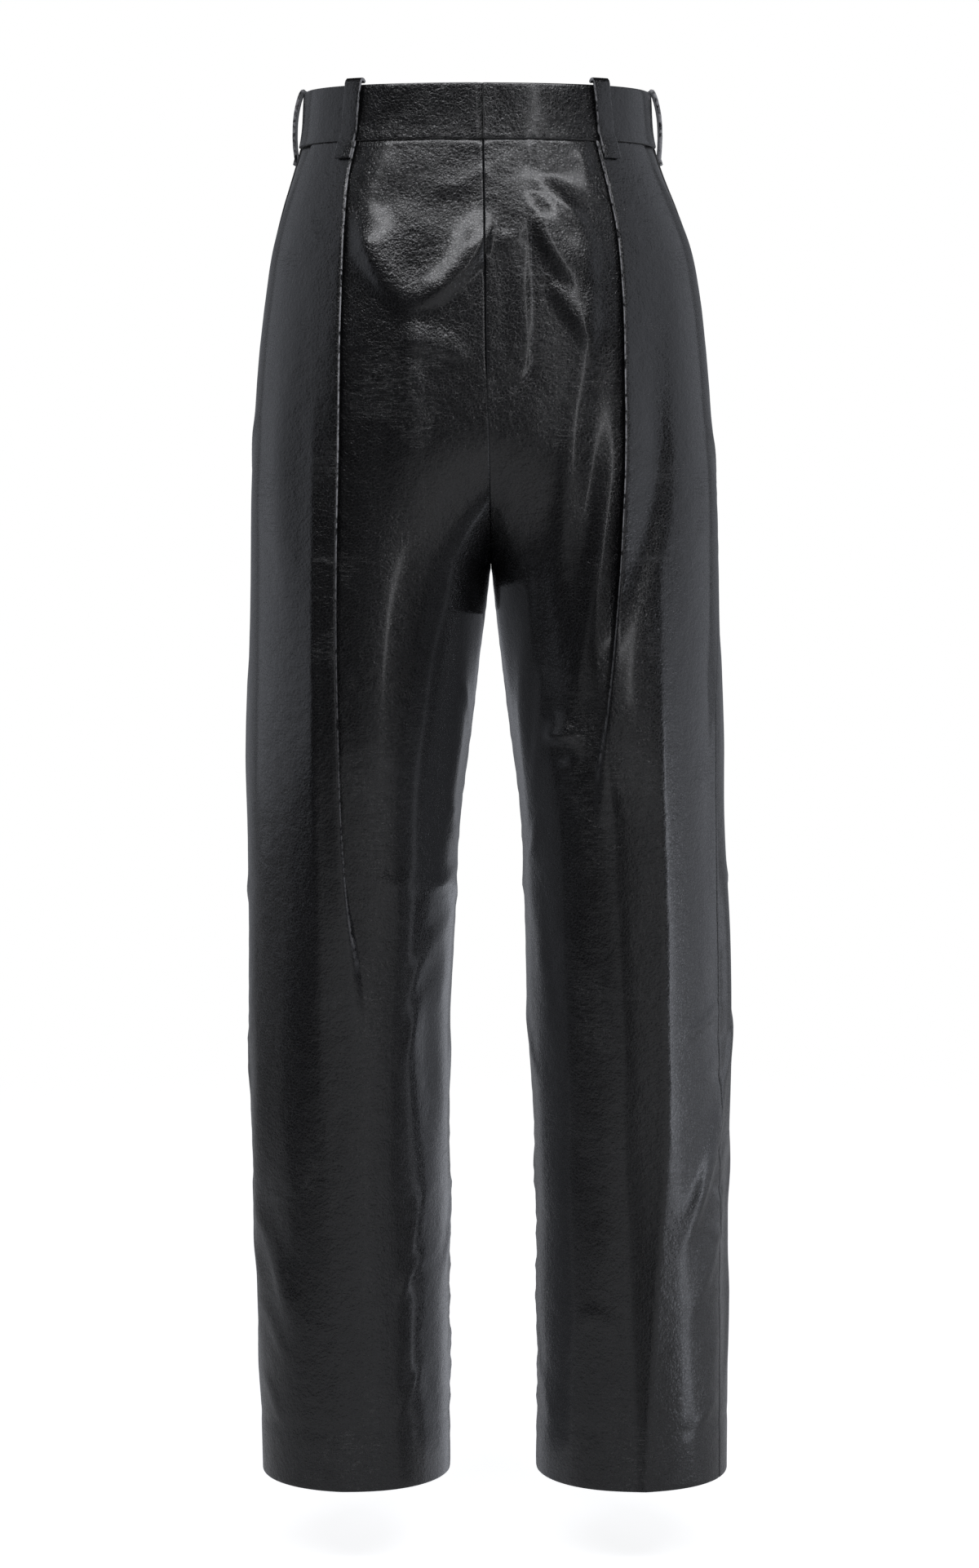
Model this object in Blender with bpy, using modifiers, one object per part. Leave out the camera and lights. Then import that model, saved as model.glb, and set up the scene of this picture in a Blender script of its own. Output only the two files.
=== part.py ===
"""Leather trousers: two fronts with one forward pleat each, two backs, a two-piece
waistband, a fly shield, slanted pocket facings and five belt loops.

Metres, +Z up, -Y to the front and +X towards the wearer's left. The origin is the
middle of the waist, level with the waistband's top edge. Heights in the tables are
drops below that edge. Each half of the garment is one outline, walked from the inner
front edge, round the outside, to the inner back edge. Above the crotch the outline
ends on the rise seams, and below it closes round the leg at the inseam.
"""

import math

import bmesh
import bpy
import numpy as np

COLLECTION = "leather_trousers"

# Cloth and seams
WALL = 0.0012
HEM_WALL = 0.0026
SEAM_GAP = 0.0003
LAYER_GAP = 0.0006
OUTSEAM = 1.078
HEM_TURN_UP = 0.046
HEM_STEP = 0.001

# Waistband
BAND_HEIGHT = 0.0415
BAND_WALL = 0.0026
BAND_PROUD = 0.0008
BAND_UNDERLAP = 0.036
BAND_DIP = 0.0045

# Rise and inseam
RISE_TURN_DROP = 0.250
CROTCH_DROP = 0.362
ROUND_FROM = 0.250
ROUND_TO = 0.520
SEAM_PULL = 12.0
RELIEF_FADE = 0.030
LEG_FULLNESS = 2.15
INSEAM_SET_BACK = 0.012

# Fly shield and slanted pockets
SHIELD_DROP = 0.226
SHIELD_OVER = 0.038
SHIELD_UNDER = 0.012
POCKET_DROP = 0.200
POCKET_SET_BACK = 0.040
FACING_UNDER = 0.014

# Pleats, as a path of turns: under fold, middle layer, visible fold
UNDER_TURN = 0.0014
VISIBLE_TURN = 0.0052
PLEAT_SINK = 0.35
PLEAT_RUN_IN = 0.045
PLEAT_RUN_OUT = 0.075

# Belt loops
LOOP_WIDTH = 0.0138
LOOP_WALL = 0.0024
LOOP_LEAN = 0.006
LOOP_REACH = 0.0105
LOOP_CLEAR = 0.62

# Mesh steps
OUTLINE_POINTS = 241
DENSE_POINTS = 4 * OUTLINE_POINTS
BAND_DROPS = (0.0, 0.014, 0.028, BAND_HEIGHT)
CENTRE_COLUMNS = 7
TOP_COLUMNS = 8
TURN_COLUMNS = 4
BACK_COLUMNS = 13
BAND_COLUMNS = 26
UNDERLAP_COLUMNS = 5
SHIELD_COLUMNS = 6
HIDDEN_COLUMNS = 3
SHOWN_COLUMNS = 4
STEEPEST_SLOPE = 1.4
LEAST_DROP = 1e-6
LEAST_TURN = 0.01
SHARP_ANGLE = math.radians(50)

# One row per height. mid is the middle seam's x and lean the x of the middle between
# the outer edges, because the garment hangs a little askew. front and back are depths.
SECTION_COLUMNS = (
    "drop", "mid", "lean", "half_width", "half_gap", "front", "back", "fullness",
)
SECTIONS = (
    (0.000, 0.0040, -0.0002, 0.1335, 0.0002, 0.0860, 0.0860, 2.20),
    (0.042, 0.0046, 0.0000, 0.1370, 0.0002, 0.0870, 0.0880, 2.20),
    (0.060, 0.0048, 0.0004, 0.1425, 0.0002, 0.0905, 0.0930, 2.22),
    (0.085, 0.0052, 0.0016, 0.1515, 0.0002, 0.0960, 0.1010, 2.25),
    (0.115, 0.0056, 0.0032, 0.1608, 0.0002, 0.1005, 0.1090, 2.30),
    (0.150, 0.0061, 0.0040, 0.1670, 0.0002, 0.1035, 0.1170, 2.36),
    (0.200, 0.0068, 0.0040, 0.1730, 0.0002, 0.1060, 0.1250, 2.46),
    (0.250, 0.0080, 0.0042, 0.1768, 0.0002, 0.1070, 0.1280, 2.58),
    (0.300, 0.0093, 0.0049, 0.1803, 0.0002, 0.1072, 0.1260, 2.70),
    (0.362, 0.0103, 0.0054, 0.1823, 0.0003, 0.1065, 0.1170, 2.80),
    (0.400, 0.0102, 0.0054, 0.1832, 0.0041, 0.1050, 0.1110, 2.80),
    (0.450, 0.0100, 0.0055, 0.1849, 0.0111, 0.1020, 0.1040, 2.70),
    (0.500, 0.0101, 0.0055, 0.1861, 0.0175, 0.0985, 0.0980, 2.60),
    (0.560, 0.0098, 0.0063, 0.1870, 0.0238, 0.0940, 0.0920, 2.50),
    (0.640, 0.0095, 0.0081, 0.1882, 0.0274, 0.0895, 0.0875, 2.50),
    (0.720, 0.0086, 0.0083, 0.1887, 0.0305, 0.0860, 0.0855, 2.50),
    (0.800, 0.0108, 0.0095, 0.1884, 0.0333, 0.0830, 0.0840, 2.50),
    (0.880, 0.0121, 0.0115, 0.1868, 0.0340, 0.0810, 0.0820, 2.50),
    (0.960, 0.0124, 0.0123, 0.1860, 0.0348, 0.0800, 0.0800, 2.50),
    (1.078, 0.0121, 0.0134, 0.1845, 0.0341, 0.0790, 0.0780, 2.50),
)

# The pleat of each front: x from the middle seam to its visible fold, the angle that
# the cloth turns through and the width of the hidden middle layer.
PLEAT_COLUMNS = ("drop", "place", "turn", "tuck")
PLEATS = {
    "left": (
        (0.042, 0.0840, 180.0, 0.0150),
        (0.072, 0.0912, 180.0, 0.0150),
        (0.108, 0.0982, 178.0, 0.0140),
        (0.152, 0.1015, 174.0, 0.0125),
        (0.230, 0.1015, 164.0, 0.0105),
        (0.315, 0.0988, 148.0, 0.0085),
        (0.396, 0.0945, 128.0, 0.0068),
        (0.460, 0.0890, 100.0, 0.0052),
        (0.510, 0.0830, 50.0, 0.0040),
        (0.550, 0.0815, 8.0, 0.0036),
        (1.078, 0.1000, 1.0, 0.0036),
    ),
    "right": (
        (0.042, 0.0952, 180.0, 0.0150),
        (0.068, 0.1011, 180.0, 0.0150),
        (0.100, 0.1042, 178.0, 0.0140),
        (0.167, 0.1076, 172.0, 0.0120),
        (0.260, 0.1110, 162.0, 0.0105),
        (0.363, 0.1150, 150.0, 0.0090),
        (0.460, 0.1145, 136.0, 0.0078),
        (0.560, 0.1122, 116.0, 0.0064),
        (0.640, 0.1060, 84.0, 0.0050),
        (0.700, 0.1000, 34.0, 0.0040),
        (0.740, 0.0985, 6.0, 0.0036),
        (1.078, 0.1000, 1.0, 0.0036),
    ),
}

# The pressed crease down each leg: x from the middle seam, height and the half width
# towards the inseam and towards the side.
CREASE_COLUMNS = ("drop", "place", "height", "inner", "outer")
CREASES = {
    "left": (
        (0.280, 0.1260, 0.0000, 0.018, 0.020),
        (0.420, 0.1275, 0.0024, 0.018, 0.020),
        (0.520, 0.1280, 0.0046, 0.016, 0.020),
        (0.630, 0.1320, 0.0056, 0.015, 0.020),
        (0.800, 0.1335, 0.0060, 0.014, 0.020),
        (0.900, 0.1265, 0.0054, 0.014, 0.020),
        (0.960, 0.1230, 0.0042, 0.015, 0.018),
        (1.078, 0.1180, 0.0026, 0.016, 0.018),
    ),
    "right": (
        (0.230, 0.1290, 0.0000, 0.014, 0.020),
        (0.320, 0.1310, 0.0030, 0.013, 0.020),
        (0.420, 0.1315, 0.0044, 0.012, 0.020),
        (0.560, 0.1310, 0.0044, 0.012, 0.020),
        (0.640, 0.1300, 0.0026, 0.014, 0.020),
        (0.740, 0.1290, 0.0012, 0.018, 0.018),
        (1.078, 0.1180, 0.0016, 0.018, 0.018),
    ),
}

# Where the side seam runs, as a share of the outline from its front to its back end.
SIDE_SEAM_COLUMNS = ("drop", "left", "right")
SIDE_SEAMS = (
    (0.000, 0.500, 0.500),
    (0.200, 0.496, 0.505),
    (0.300, 0.470, 0.520),
    (0.420, 0.452, 0.525),
    (0.560, 0.430, 0.525),
    (0.800, 0.420, 0.525),
    (1.078, 0.420, 0.525),
)

# The largest soft folds. share is the place round the outline, slant its change over
# one metre of drop. A negative height is a trough.
FOLD_COLUMNS = ("side", "share", "drop", "length", "spread", "slant", "height")
FOLDS = (
    ("left", 0.205, 0.300, 0.420, 0.014, -0.06, 0.0034),
    ("left", 0.262, 0.330, 0.360, 0.012, -0.12, -0.0030),
    ("left", 0.100, 0.470, 0.300, 0.014, -0.10, 0.0030),
    ("left", 0.480, 0.700, 0.360, 0.016, 0.10, 0.0032),
    ("left", 0.460, 0.900, 0.300, 0.015, -0.16, -0.0030),
    ("left", 0.700, 0.560, 0.300, 0.018, 0.08, -0.0036),
    ("left", 0.640, 0.330, 0.260, 0.018, -0.12, 0.0034),
    ("left", 0.820, 0.420, 0.240, 0.016, 0.20, -0.0036),
    ("right", 0.330, 0.300, 0.300, 0.016, 0.06, 0.0030),
    ("right", 0.090, 0.500, 0.300, 0.014, 0.10, 0.0032),
    ("right", 0.120, 0.720, 0.260, 0.014, -0.20, -0.0030),
    ("right", 0.440, 0.860, 0.340, 0.016, 0.14, 0.0032),
    ("right", 0.700, 0.600, 0.320, 0.018, -0.08, -0.0036),
    ("right", 0.620, 0.340, 0.260, 0.018, 0.10, 0.0034),
    ("right", 0.830, 0.430, 0.240, 0.016, -0.20, -0.0036),
)

# The strip of a belt loop: how far it lies out from the band's face and up from its top
# edge. A standing loop rises over the edge, and a bowed one springs from it. The strip
# lies on the panel below the band at the heights in LOOP_ENDS.
LOOP_COLUMNS = ("out", "up")
LOOP_PATHS = {
    "standing": (
        (-0.0016, 0.0016), (0.0002, 0.0034), (0.0028, 0.0038), (0.0044, 0.0008),
        (0.0047, -0.0100), (0.0047, -0.0230), (0.0044, -0.0350),
    ),
    "bowed": (
        (-0.0016, 0.0016), (0.0006, 0.0018), (0.0028, -0.0024), (0.0048, -0.0090),
        (0.0064, -0.0170), (0.0072, -0.0250), (0.0075, -0.0330), (0.0073, -0.0410),
    ),
}
LOOP_ENDS = {
    "standing": (-0.0440, -0.0500, -0.0550),
    "bowed": (-0.0495, -0.0540),
}
LOOP_PLACES = (
    ("belt_loop_front_left", "left", 0.262, "standing"),
    ("belt_loop_front_right", "right", 0.274, "standing"),
    ("belt_loop_side_left", "left", 0.520, "bowed"),
    ("belt_loop_side_right", "right", 0.520, "bowed"),
    ("belt_loop_back", "left", 1.000, "standing"),
)

ROW_DROPS = (
    0.060, 0.078, 0.096, 0.118, 0.144, 0.172, 0.200, 0.226, 0.250,
)
RISE_ANGLES = (20, 38, 54, 68, 80, 90)
LEG_DROPS = (
    0.374, 0.392, 0.415, 0.442, 0.470, 0.500, 0.530, 0.565, 0.605, 0.650,
    0.695, 0.740, 0.800, 0.870, 0.940, 1.000,
)

LEATHER = ((0.022, 0.022, 0.024, 1.0), 0.42, 0.0)
LEATHER_INSIDE = ((0.030, 0.029, 0.029, 1.0), 0.62, 0.0)


def smooth_row(columns, table, drop):
    """The table's values at one drop, on a smooth curve through its rows."""
    values = np.array(table, dtype=float)
    drops = values[:, 0]
    slopes = np.gradient(values, drops, axis=0)
    drop = min(max(drop, drops[0]), drops[-1])
    low = min(max(int(np.searchsorted(drops, drop)) - 1, 0), len(drops) - 2)
    step = drops[low + 1] - drops[low]
    t = (drop - drops[low]) / step
    mixed = (
        (1 + 2 * t) * (1 - t) ** 2 * values[low]
        + t * (1 - t) ** 2 * step * slopes[low]
        + t**2 * (3 - 2 * t) * values[low + 1]
        + t**2 * (t - 1) * step * slopes[low + 1]
    )
    return dict(zip(columns, mixed))


def ease(value):
    value = min(max(value, 0), 1)
    return value * value * (3 - 2 * value)


def power(value, fullness):
    return np.sign(value) * np.abs(value) ** (2 / fullness)


def evenly(points):
    """The outline's points again, evenly spaced along it."""
    steps = np.hypot(*np.diff(points, axis=0).T)
    walked = np.concatenate([[0], np.cumsum(steps)])
    even = np.linspace(0, walked[-1], OUTLINE_POINTS)
    return np.stack([np.interp(even, walked, points[:, k]) for k in (0, 1)], axis=1)


class Outline:
    """One half's outline at one height, in x outwards from the middle seam and y."""

    def __init__(self, side, drop):
        row = smooth_row(SECTION_COLUMNS, SECTIONS, drop)
        self.side = side
        self.sign = 1 if side == "left" else -1
        self.drop = drop
        self.mid = row["mid"]
        reach = row["half_width"] + self.sign * (row["lean"] - row["mid"])
        points = evenly(self.torso(row, reach))
        share = self.leg_share(drop)[:, None]
        if share.max() > 0:
            points = (1 - share) * points + share * evenly(self.leg(row, reach))
        self.points = points
        steps = np.hypot(*np.diff(points, axis=0).T)
        self.walked = np.concatenate([[0], np.cumsum(steps)])
        self.length = self.walked[-1]
        tangent = np.gradient(points, self.walked, axis=0)
        self.tangent = tangent / np.linalg.norm(tangent, axis=1)[:, None]

    @staticmethod
    def leg_share(drop):
        """How much of the leg's round outline there is, at each point of the outline.

        The ends follow the rise's quarter turn and are one seam from the crotch down.
        The cloth between them rounds slowly, over a longer drop.
        """
        part = (drop - RISE_TURN_DROP) / (CROTCH_DROP - RISE_TURN_DROP)
        end = 1 - math.sqrt(1 - min(max(part, 0), 1) ** 2)
        middle = ease((drop - ROUND_FROM) / (ROUND_TO - ROUND_FROM))
        nearness = np.abs(np.linspace(-1, 1, OUTLINE_POINTS)) ** SEAM_PULL
        return middle + (end - middle) * nearness

    @staticmethod
    def torso(row, reach):
        angle = np.linspace(0, math.pi, DENSE_POINTS)
        across = SEAM_GAP / 2 + (reach - SEAM_GAP / 2) * power(np.sin(angle), row["fullness"])
        along = power(np.cos(angle), row["fullness"])
        deep = np.where(along > 0, -row["front"] * along, -row["back"] * along)
        return np.stack([across, deep], axis=1)

    @staticmethod
    def leg(row, reach):
        angle = np.linspace(0, 2 * math.pi, DENSE_POINTS)
        gap = max(row["half_gap"], SEAM_GAP / 2)
        inseam = np.interp(row["drop"], (CROTCH_DROP, OUTSEAM), (INSEAM_SET_BACK, 0.0))
        across = (reach + gap) / 2 - (reach - gap) / 2 * power(np.cos(angle), LEG_FULLNESS)
        along = power(np.sin(angle), LEG_FULLNESS)
        deep = np.where(
            along > 0,
            inseam - (row["front"] + inseam) * along,
            inseam - (row["back"] - inseam) * along,
        )
        return np.stack([across, deep], axis=1)

    def place_of(self, across):
        """The distance walked to where the front first reaches this far out."""
        outermost = int(np.argmax(self.points[:, 0]))
        reached = np.maximum.accumulate(self.points[:outermost, 0])
        return float(np.interp(across, reached, self.walked[:outermost]))

    def at_share(self, share):
        """The distance walked to a share of the leather, front end to back end.

        The shares stay with the leather where the crotch draws the outline's ends in.
        """
        return float(np.interp(share * (OUTLINE_POINTS - 1), range(OUTLINE_POINTS), self.walked))

    def side_seam(self):
        return self.at_share(smooth_row(SIDE_SEAM_COLUMNS, SIDE_SEAMS, self.drop)[self.side])

    def relief(self, walked):
        """How far the folds and the pressed crease stand out, fading at the end seams."""
        raised = 0.0
        for row in FOLDS:
            fold = dict(zip(FOLD_COLUMNS, row))
            past = self.drop - fold["drop"]
            along = past / (fold["length"] / 2)
            if fold["side"] != self.side or abs(along) >= 1:
                continue
            centre = self.at_share(fold["share"] + fold["slant"] * past)
            fade = math.cos(math.pi / 2 * along) ** 2
            raised += fold["height"] * fade * math.exp(-(((walked - centre) / fold["spread"]) ** 2))
        crease = smooth_row(CREASE_COLUMNS, CREASES[self.side], self.drop)
        across = walked - self.place_of(crease["place"])
        spread = crease["inner"] if across < 0 else crease["outer"]
        raised += crease["height"] * math.exp(-abs(across) / spread)
        return raised * ease(min(walked, self.length - walked) / RELIEF_FADE)

    def at(self, walked, out=0.0, turned=0.0):
        """Position and outward direction at a place, out from the outline.

        turned is how far the cloth's direction has turned away from the outline's.
        """
        out = out + self.relief(walked)
        x, y = (np.interp(walked, self.walked, self.points[:, k]) for k in (0, 1))
        tx, ty = (np.interp(walked, self.walked, self.tangent[:, k]) for k in (0, 1))
        size = math.hypot(tx, ty)
        tx, ty = tx / size, ty / size
        nx, ny = ty, -tx
        position = (self.mid + self.sign * (x + out * nx), y + out * ny, -self.drop)
        facing_x = math.cos(turned) * nx - math.sin(turned) * tx
        facing_y = math.cos(turned) * ny - math.sin(turned) * ty
        return np.array(position), np.array((self.sign * facing_x, facing_y, 0.0))


def pleat_path(outline):
    """(walked, out, turned) at each point of the pleat, from the centre front out."""
    row = smooth_row(PLEAT_COLUMNS, PLEATS[outline.side], outline.drop)
    turn = max(math.radians(min(row["turn"], 180.0)), LEAST_TURN)
    under, visible = UNDER_TURN / turn, VISIBLE_TURN / turn
    steps = np.linspace(0, turn, TURN_COLUMNS)
    path = [(under * math.sin(a), under * (1 - math.cos(a)), a) for a in steps]
    x = path[-1][0] + row["tuck"] * math.cos(turn)
    y = path[-1][1] + row["tuck"] * math.sin(turn)
    for a in steps[::-1]:
        dx = visible * (math.sin(turn) - math.sin(a))
        dy = visible * (math.cos(a) - math.cos(turn))
        path.append((x + dx, y + dy, a))
    rise = path[-1][1]
    edge = min(x for x, _, _ in path[TURN_COLUMNS:])
    start = outline.place_of(row["place"]) - edge
    return [(start + x, y - PLEAT_SINK * rise, a) for x, y, a in path]


def pocket_mouth(outline):
    """How far the front reaches at this height: to the pocket's mouth or the side seam."""
    seam = outline.side_seam()
    if outline.drop >= POCKET_DROP:
        return seam
    back = POCKET_SET_BACK * (POCKET_DROP - outline.drop) / (POCKET_DROP - BAND_HEIGHT)
    return seam - back


def front_row(outline):
    pleat = pleat_path(outline)
    first, last = pleat[0], pleat[-1]
    end = pocket_mouth(outline) - SEAM_GAP / 2
    path = []
    for walked in np.linspace(SEAM_GAP / 2, first[0], CENTRE_COLUMNS + 1)[:-1]:
        near = ease(1 - (first[0] - walked) / PLEAT_RUN_IN)
        path.append((walked, first[1] * near, 0.0))
    path.extend(pleat)
    for walked in np.linspace(last[0], end, TOP_COLUMNS + 1)[1:]:
        near = ease(1 - (walked - last[0]) / PLEAT_RUN_OUT)
        path.append((walked, last[1] * near, 0.0))
    return [outline.at(*step) for step in path]


def back_row(outline):
    start = outline.side_seam() + SEAM_GAP / 2
    end = outline.length - SEAM_GAP / 2
    return [outline.at(walked) for walked in np.linspace(start, end, BACK_COLUMNS)]


def facing_row(outline):
    start = pocket_mouth(outline) - FACING_UNDER
    end = outline.side_seam() - SEAM_GAP / 2
    under = -(WALL + LAYER_GAP)
    hidden = np.linspace(start, pocket_mouth(outline) + SEAM_GAP, HIDDEN_COLUMNS)
    shown = np.linspace(hidden[-1], end, SHOWN_COLUMNS)[1:]
    return [outline.at(walked, under) for walked in (*hidden, *shown)]


def level(rows):
    """The rows' places and their level outward directions, as two arrays."""
    places = np.array([[place for place, _ in row] for row in rows])
    facing = np.array([[face for _, face in row] for row in rows])
    return places, facing


def sloped(rows, split):
    """The same, with each direction tipped to the slope of its surface from row to row.

    The rows on the two sides of split are sloped apart, as the cloth there is pinched.
    """
    places, facing = level(rows)
    for part in (slice(0, split), slice(split, len(rows))):
        if len(places[part]) < 2:
            continue
        down = np.gradient(places[part], axis=0)
        drop = -down[..., 2]
        slope = (facing[part] * down).sum(axis=2) / np.maximum(drop, LEAST_DROP)
        facing[part][..., 2] = np.clip(slope, -STEEPEST_SLOPE, STEEPEST_SLOPE)
    facing /= np.linalg.norm(facing, axis=2)[..., None]
    return places, facing


def closed_wall(name, places, facing, walls, material):
    """A closed wall: the outer surface, and the same surface moved in by its thickness."""
    inner = places - facing * np.asarray(walls)[:, None, None]
    section = np.concatenate([places, inner[:, ::-1]], axis=1)
    rows, around = section.shape[:2]
    mesh = bmesh.new()
    grid = [[mesh.verts.new(point) for point in row] for row in section]
    for upper, lower in zip(grid, grid[1:]):
        for k in range(around):
            after = (k + 1) % around
            mesh.faces.new((upper[k], upper[after], lower[after], lower[k]))
    half = around // 2
    for row in (grid[0], grid[-1]):
        for k in range(half - 1):
            mesh.faces.new((row[k], row[k + 1], row[-k - 2], row[-k - 1]))
    bmesh.ops.recalc_face_normals(mesh, faces=mesh.faces)
    if mesh.calc_volume(signed=True) < 0:
        bmesh.ops.reverse_faces(mesh, faces=mesh.faces)
    return add_object(name, mesh, material)


def add_object(name, mesh, material):
    data = bpy.data.meshes.new(name)
    mesh.to_mesh(data)
    mesh.free()
    data.materials.append(material)
    data.shade_smooth()
    data.set_sharp_from_angle(angle=SHARP_ANGLE)
    piece = bpy.data.objects.new(name, data)
    bpy.data.collections[COLLECTION].objects.link(piece)
    return piece


def panel_drops():
    turn = CROTCH_DROP - RISE_TURN_DROP
    rise = [RISE_TURN_DROP + turn * math.sin(math.radians(a)) for a in RISE_ANGLES]
    hem = OUTSEAM - HEM_TURN_UP
    top = BAND_HEIGHT + SEAM_GAP
    return [top, *ROW_DROPS, *rise, *LEG_DROPS, hem - HEM_STEP, hem, OUTSEAM]


def panel(name, side, row_of, material):
    drops = panel_drops()
    rows = [row_of(Outline(side, drop)) for drop in drops]
    places, facing = sloped(rows, drops.index(CROTCH_DROP))
    walls = [HEM_WALL if drop >= OUTSEAM - HEM_TURN_UP else WALL for drop in drops]
    closed_wall(name, places, facing, walls, material)


def pocket_facing(side, material):
    drops = [drop for drop in panel_drops() if drop <= POCKET_DROP]
    rows = [facing_row(Outline(side, drop)) for drop in drops]
    places, facing = sloped(rows, len(rows))
    closed_wall(f"pocket_facing_{side}", places, facing, [WALL] * len(rows), material)


def signed_place(drop, walked):
    """A place at a distance from the centre front, to the wearer's left if positive."""
    side = "left" if walked >= 0 else "right"
    return Outline(side, drop), abs(walked)


def fly_shield(material):
    drops = [drop for drop in panel_drops() if drop <= SHIELD_DROP]
    rows = []
    for drop in drops:
        row = []
        for walked in np.linspace(-SHIELD_UNDER, SHIELD_OVER, SHIELD_COLUMNS):
            outline, place = signed_place(drop, walked)
            row.append(outline.at(place, -(WALL + LAYER_GAP)))
        rows.append(row)
    places, facing = sloped(rows, len(rows))
    closed_wall("fly_shield", places, facing, [WALL] * len(rows), material)


def waistband(side, material):
    rows = []
    for drop in BAND_DROPS:
        outline = Outline(side, drop)
        start = SEAM_GAP / 2 if side == "left" else BAND_DIP
        places = np.linspace(start, outline.length - SEAM_GAP / 2, BAND_COLUMNS)
        row = [outline.at(place, BAND_PROUD) for place in places]
        if side == "right":
            row = underlap(drop) + row
        rows.append(row)
    places, facing = level(rows)
    closed_wall(f"waistband_{side}", places, facing, [BAND_WALL] * len(rows), material)


def underlap(drop):
    """The band's end that passes behind the other half at the centre front."""
    behind = BAND_PROUD - BAND_WALL - LAYER_GAP
    row = []
    for walked in np.linspace(BAND_UNDERLAP, -SEAM_GAP, UNDERLAP_COLUMNS):
        outline, place = signed_place(drop, walked)
        row.append(outline.at(place, behind))
    return row


def top_layer(outline, walked):
    """How far out the cloth's outermost layer lies at this place."""
    pleat = pleat_path(outline)
    edge = min(x for x, _, _ in pleat[TURN_COLUMNS:])
    if walked < edge:
        return 0.0
    past = max(walked - pleat[-1][0], 0.0)
    return pleat[-1][1] * ease(1 - past / PLEAT_RUN_OUT)


def belt_loop(name, side, share, form, material):
    top = Outline(side, 0.0)
    anchor, facing = top.at(share * top.length, BAND_PROUD)
    along = np.array((-facing[1], facing[0], 0.0))
    lean = 0.0 if share == 1 else LOOP_LEAN * (1 if side == "left" else -1)
    path = [dict(zip(LOOP_COLUMNS, row)) for row in LOOP_PATHS[form]]
    for up in LOOP_ENDS[form]:
        lower = Outline(side, -up)
        reach = []
        for aside in (-LOOP_REACH, 0.0, LOOP_REACH):
            walked = min(share * lower.length + aside, lower.length)
            place, _ = lower.at(walked, top_layer(lower, walked))
            reach.append((place - anchor) @ facing)
        path.append({"out": max(reach) + SEAM_GAP + LOOP_WALL * LOOP_CLEAR, "up": up})
    mesh = bmesh.new()
    grid = []
    for point in path:
        aside = lean * point["up"] / path[-1]["up"]
        middle = anchor + facing * point["out"] + along * aside
        edges = (middle - along * LOOP_WIDTH / 2, middle, middle + along * LOOP_WIDTH / 2)
        grid.append([mesh.verts.new((*edge[:2], point["up"])) for edge in edges])
    for upper, lower in zip(grid, grid[1:]):
        for k in range(2):
            mesh.faces.new((upper[k], upper[k + 1], lower[k + 1], lower[k]))
    piece = add_object(name, mesh, material)
    wall = piece.modifiers.new("leather", "SOLIDIFY")
    wall.thickness = LOOP_WALL
    wall.offset = 0.0
    wall.use_even_offset = True


def leather(name, finish):
    colour, roughness, metallic = finish
    material = bpy.data.materials.new(name)
    material.use_nodes = True
    shader = material.node_tree.nodes["Principled BSDF"]
    shader.inputs["Base Color"].default_value = colour
    shader.inputs["Roughness"].default_value = roughness
    shader.inputs["Metallic"].default_value = metallic
    return material


def build():
    for thing in list(bpy.data.objects):
        bpy.data.objects.remove(thing)
    collection = bpy.data.collections.new(COLLECTION)
    bpy.context.scene.collection.children.link(collection)
    for side in ("left", "right"):
        panel(f"front_{side}", side, front_row, leather(f"leather_front_{side}", LEATHER))
        panel(f"back_{side}", side, back_row, leather(f"leather_back_{side}", LEATHER))
        waistband(side, leather(f"leather_band_{side}", LEATHER))
        pocket_facing(side, leather(f"leather_facing_{side}", LEATHER))
    fly_shield(leather("leather_shield", LEATHER_INSIDE))
    for name, side, share, form in LOOP_PLACES:
        belt_loop(name, side, share, form, leather(f"leather_{name}", LEATHER))


build()
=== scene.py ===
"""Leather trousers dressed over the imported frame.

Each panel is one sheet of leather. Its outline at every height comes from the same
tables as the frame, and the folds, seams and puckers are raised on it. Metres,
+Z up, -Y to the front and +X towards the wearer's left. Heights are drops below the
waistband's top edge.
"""

import functools
import math

import bmesh
import bpy
import numpy as np
from mathutils import Matrix, Quaternion, Vector


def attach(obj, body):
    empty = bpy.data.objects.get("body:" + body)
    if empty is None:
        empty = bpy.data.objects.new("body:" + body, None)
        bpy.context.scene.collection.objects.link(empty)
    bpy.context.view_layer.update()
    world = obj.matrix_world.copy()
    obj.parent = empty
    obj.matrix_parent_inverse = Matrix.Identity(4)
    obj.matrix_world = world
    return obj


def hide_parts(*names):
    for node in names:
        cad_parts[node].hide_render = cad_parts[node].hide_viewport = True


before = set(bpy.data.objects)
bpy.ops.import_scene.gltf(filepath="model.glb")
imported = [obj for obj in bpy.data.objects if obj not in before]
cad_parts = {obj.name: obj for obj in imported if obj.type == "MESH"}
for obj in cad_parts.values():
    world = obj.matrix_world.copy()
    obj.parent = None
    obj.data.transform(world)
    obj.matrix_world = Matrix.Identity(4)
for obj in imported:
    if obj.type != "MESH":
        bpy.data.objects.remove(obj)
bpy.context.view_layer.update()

MM = 0.001

# Leather and seams
LEATHER = 0.0009
SEAM_GAP = 0.0003  # at the centre front, below the waistband and behind the loops
SEWN_GAP = 0.00001  # between the two sheets of a sewn seam
LAYER_GAP = 0.0006  # between the waistband's end and its underlap
SEAM_ROLL = 0.0006
SEAM_ROLL_REACH = 0.0010
OUTSEAM = 1.078
HEM_TURN_UP = 0.046
HEM_RADIUS = 0.0010
HEM_SEAM = 0.0004
HEM_SEAM_REACH = 0.0045
HEM_ANGLES = (30, 60, 90, 120, 150, 180)
RIM_ANGLE = math.radians(50)

# The top edge of a panel: how far each row lies below the waistband seam and how far
# inside the outer face.
TOP_EDGE = ((0.0, 0.0006), (0.0006, 0.0002), (0.0016, 0.0))
TOP_EDGE_END = 0.004

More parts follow.
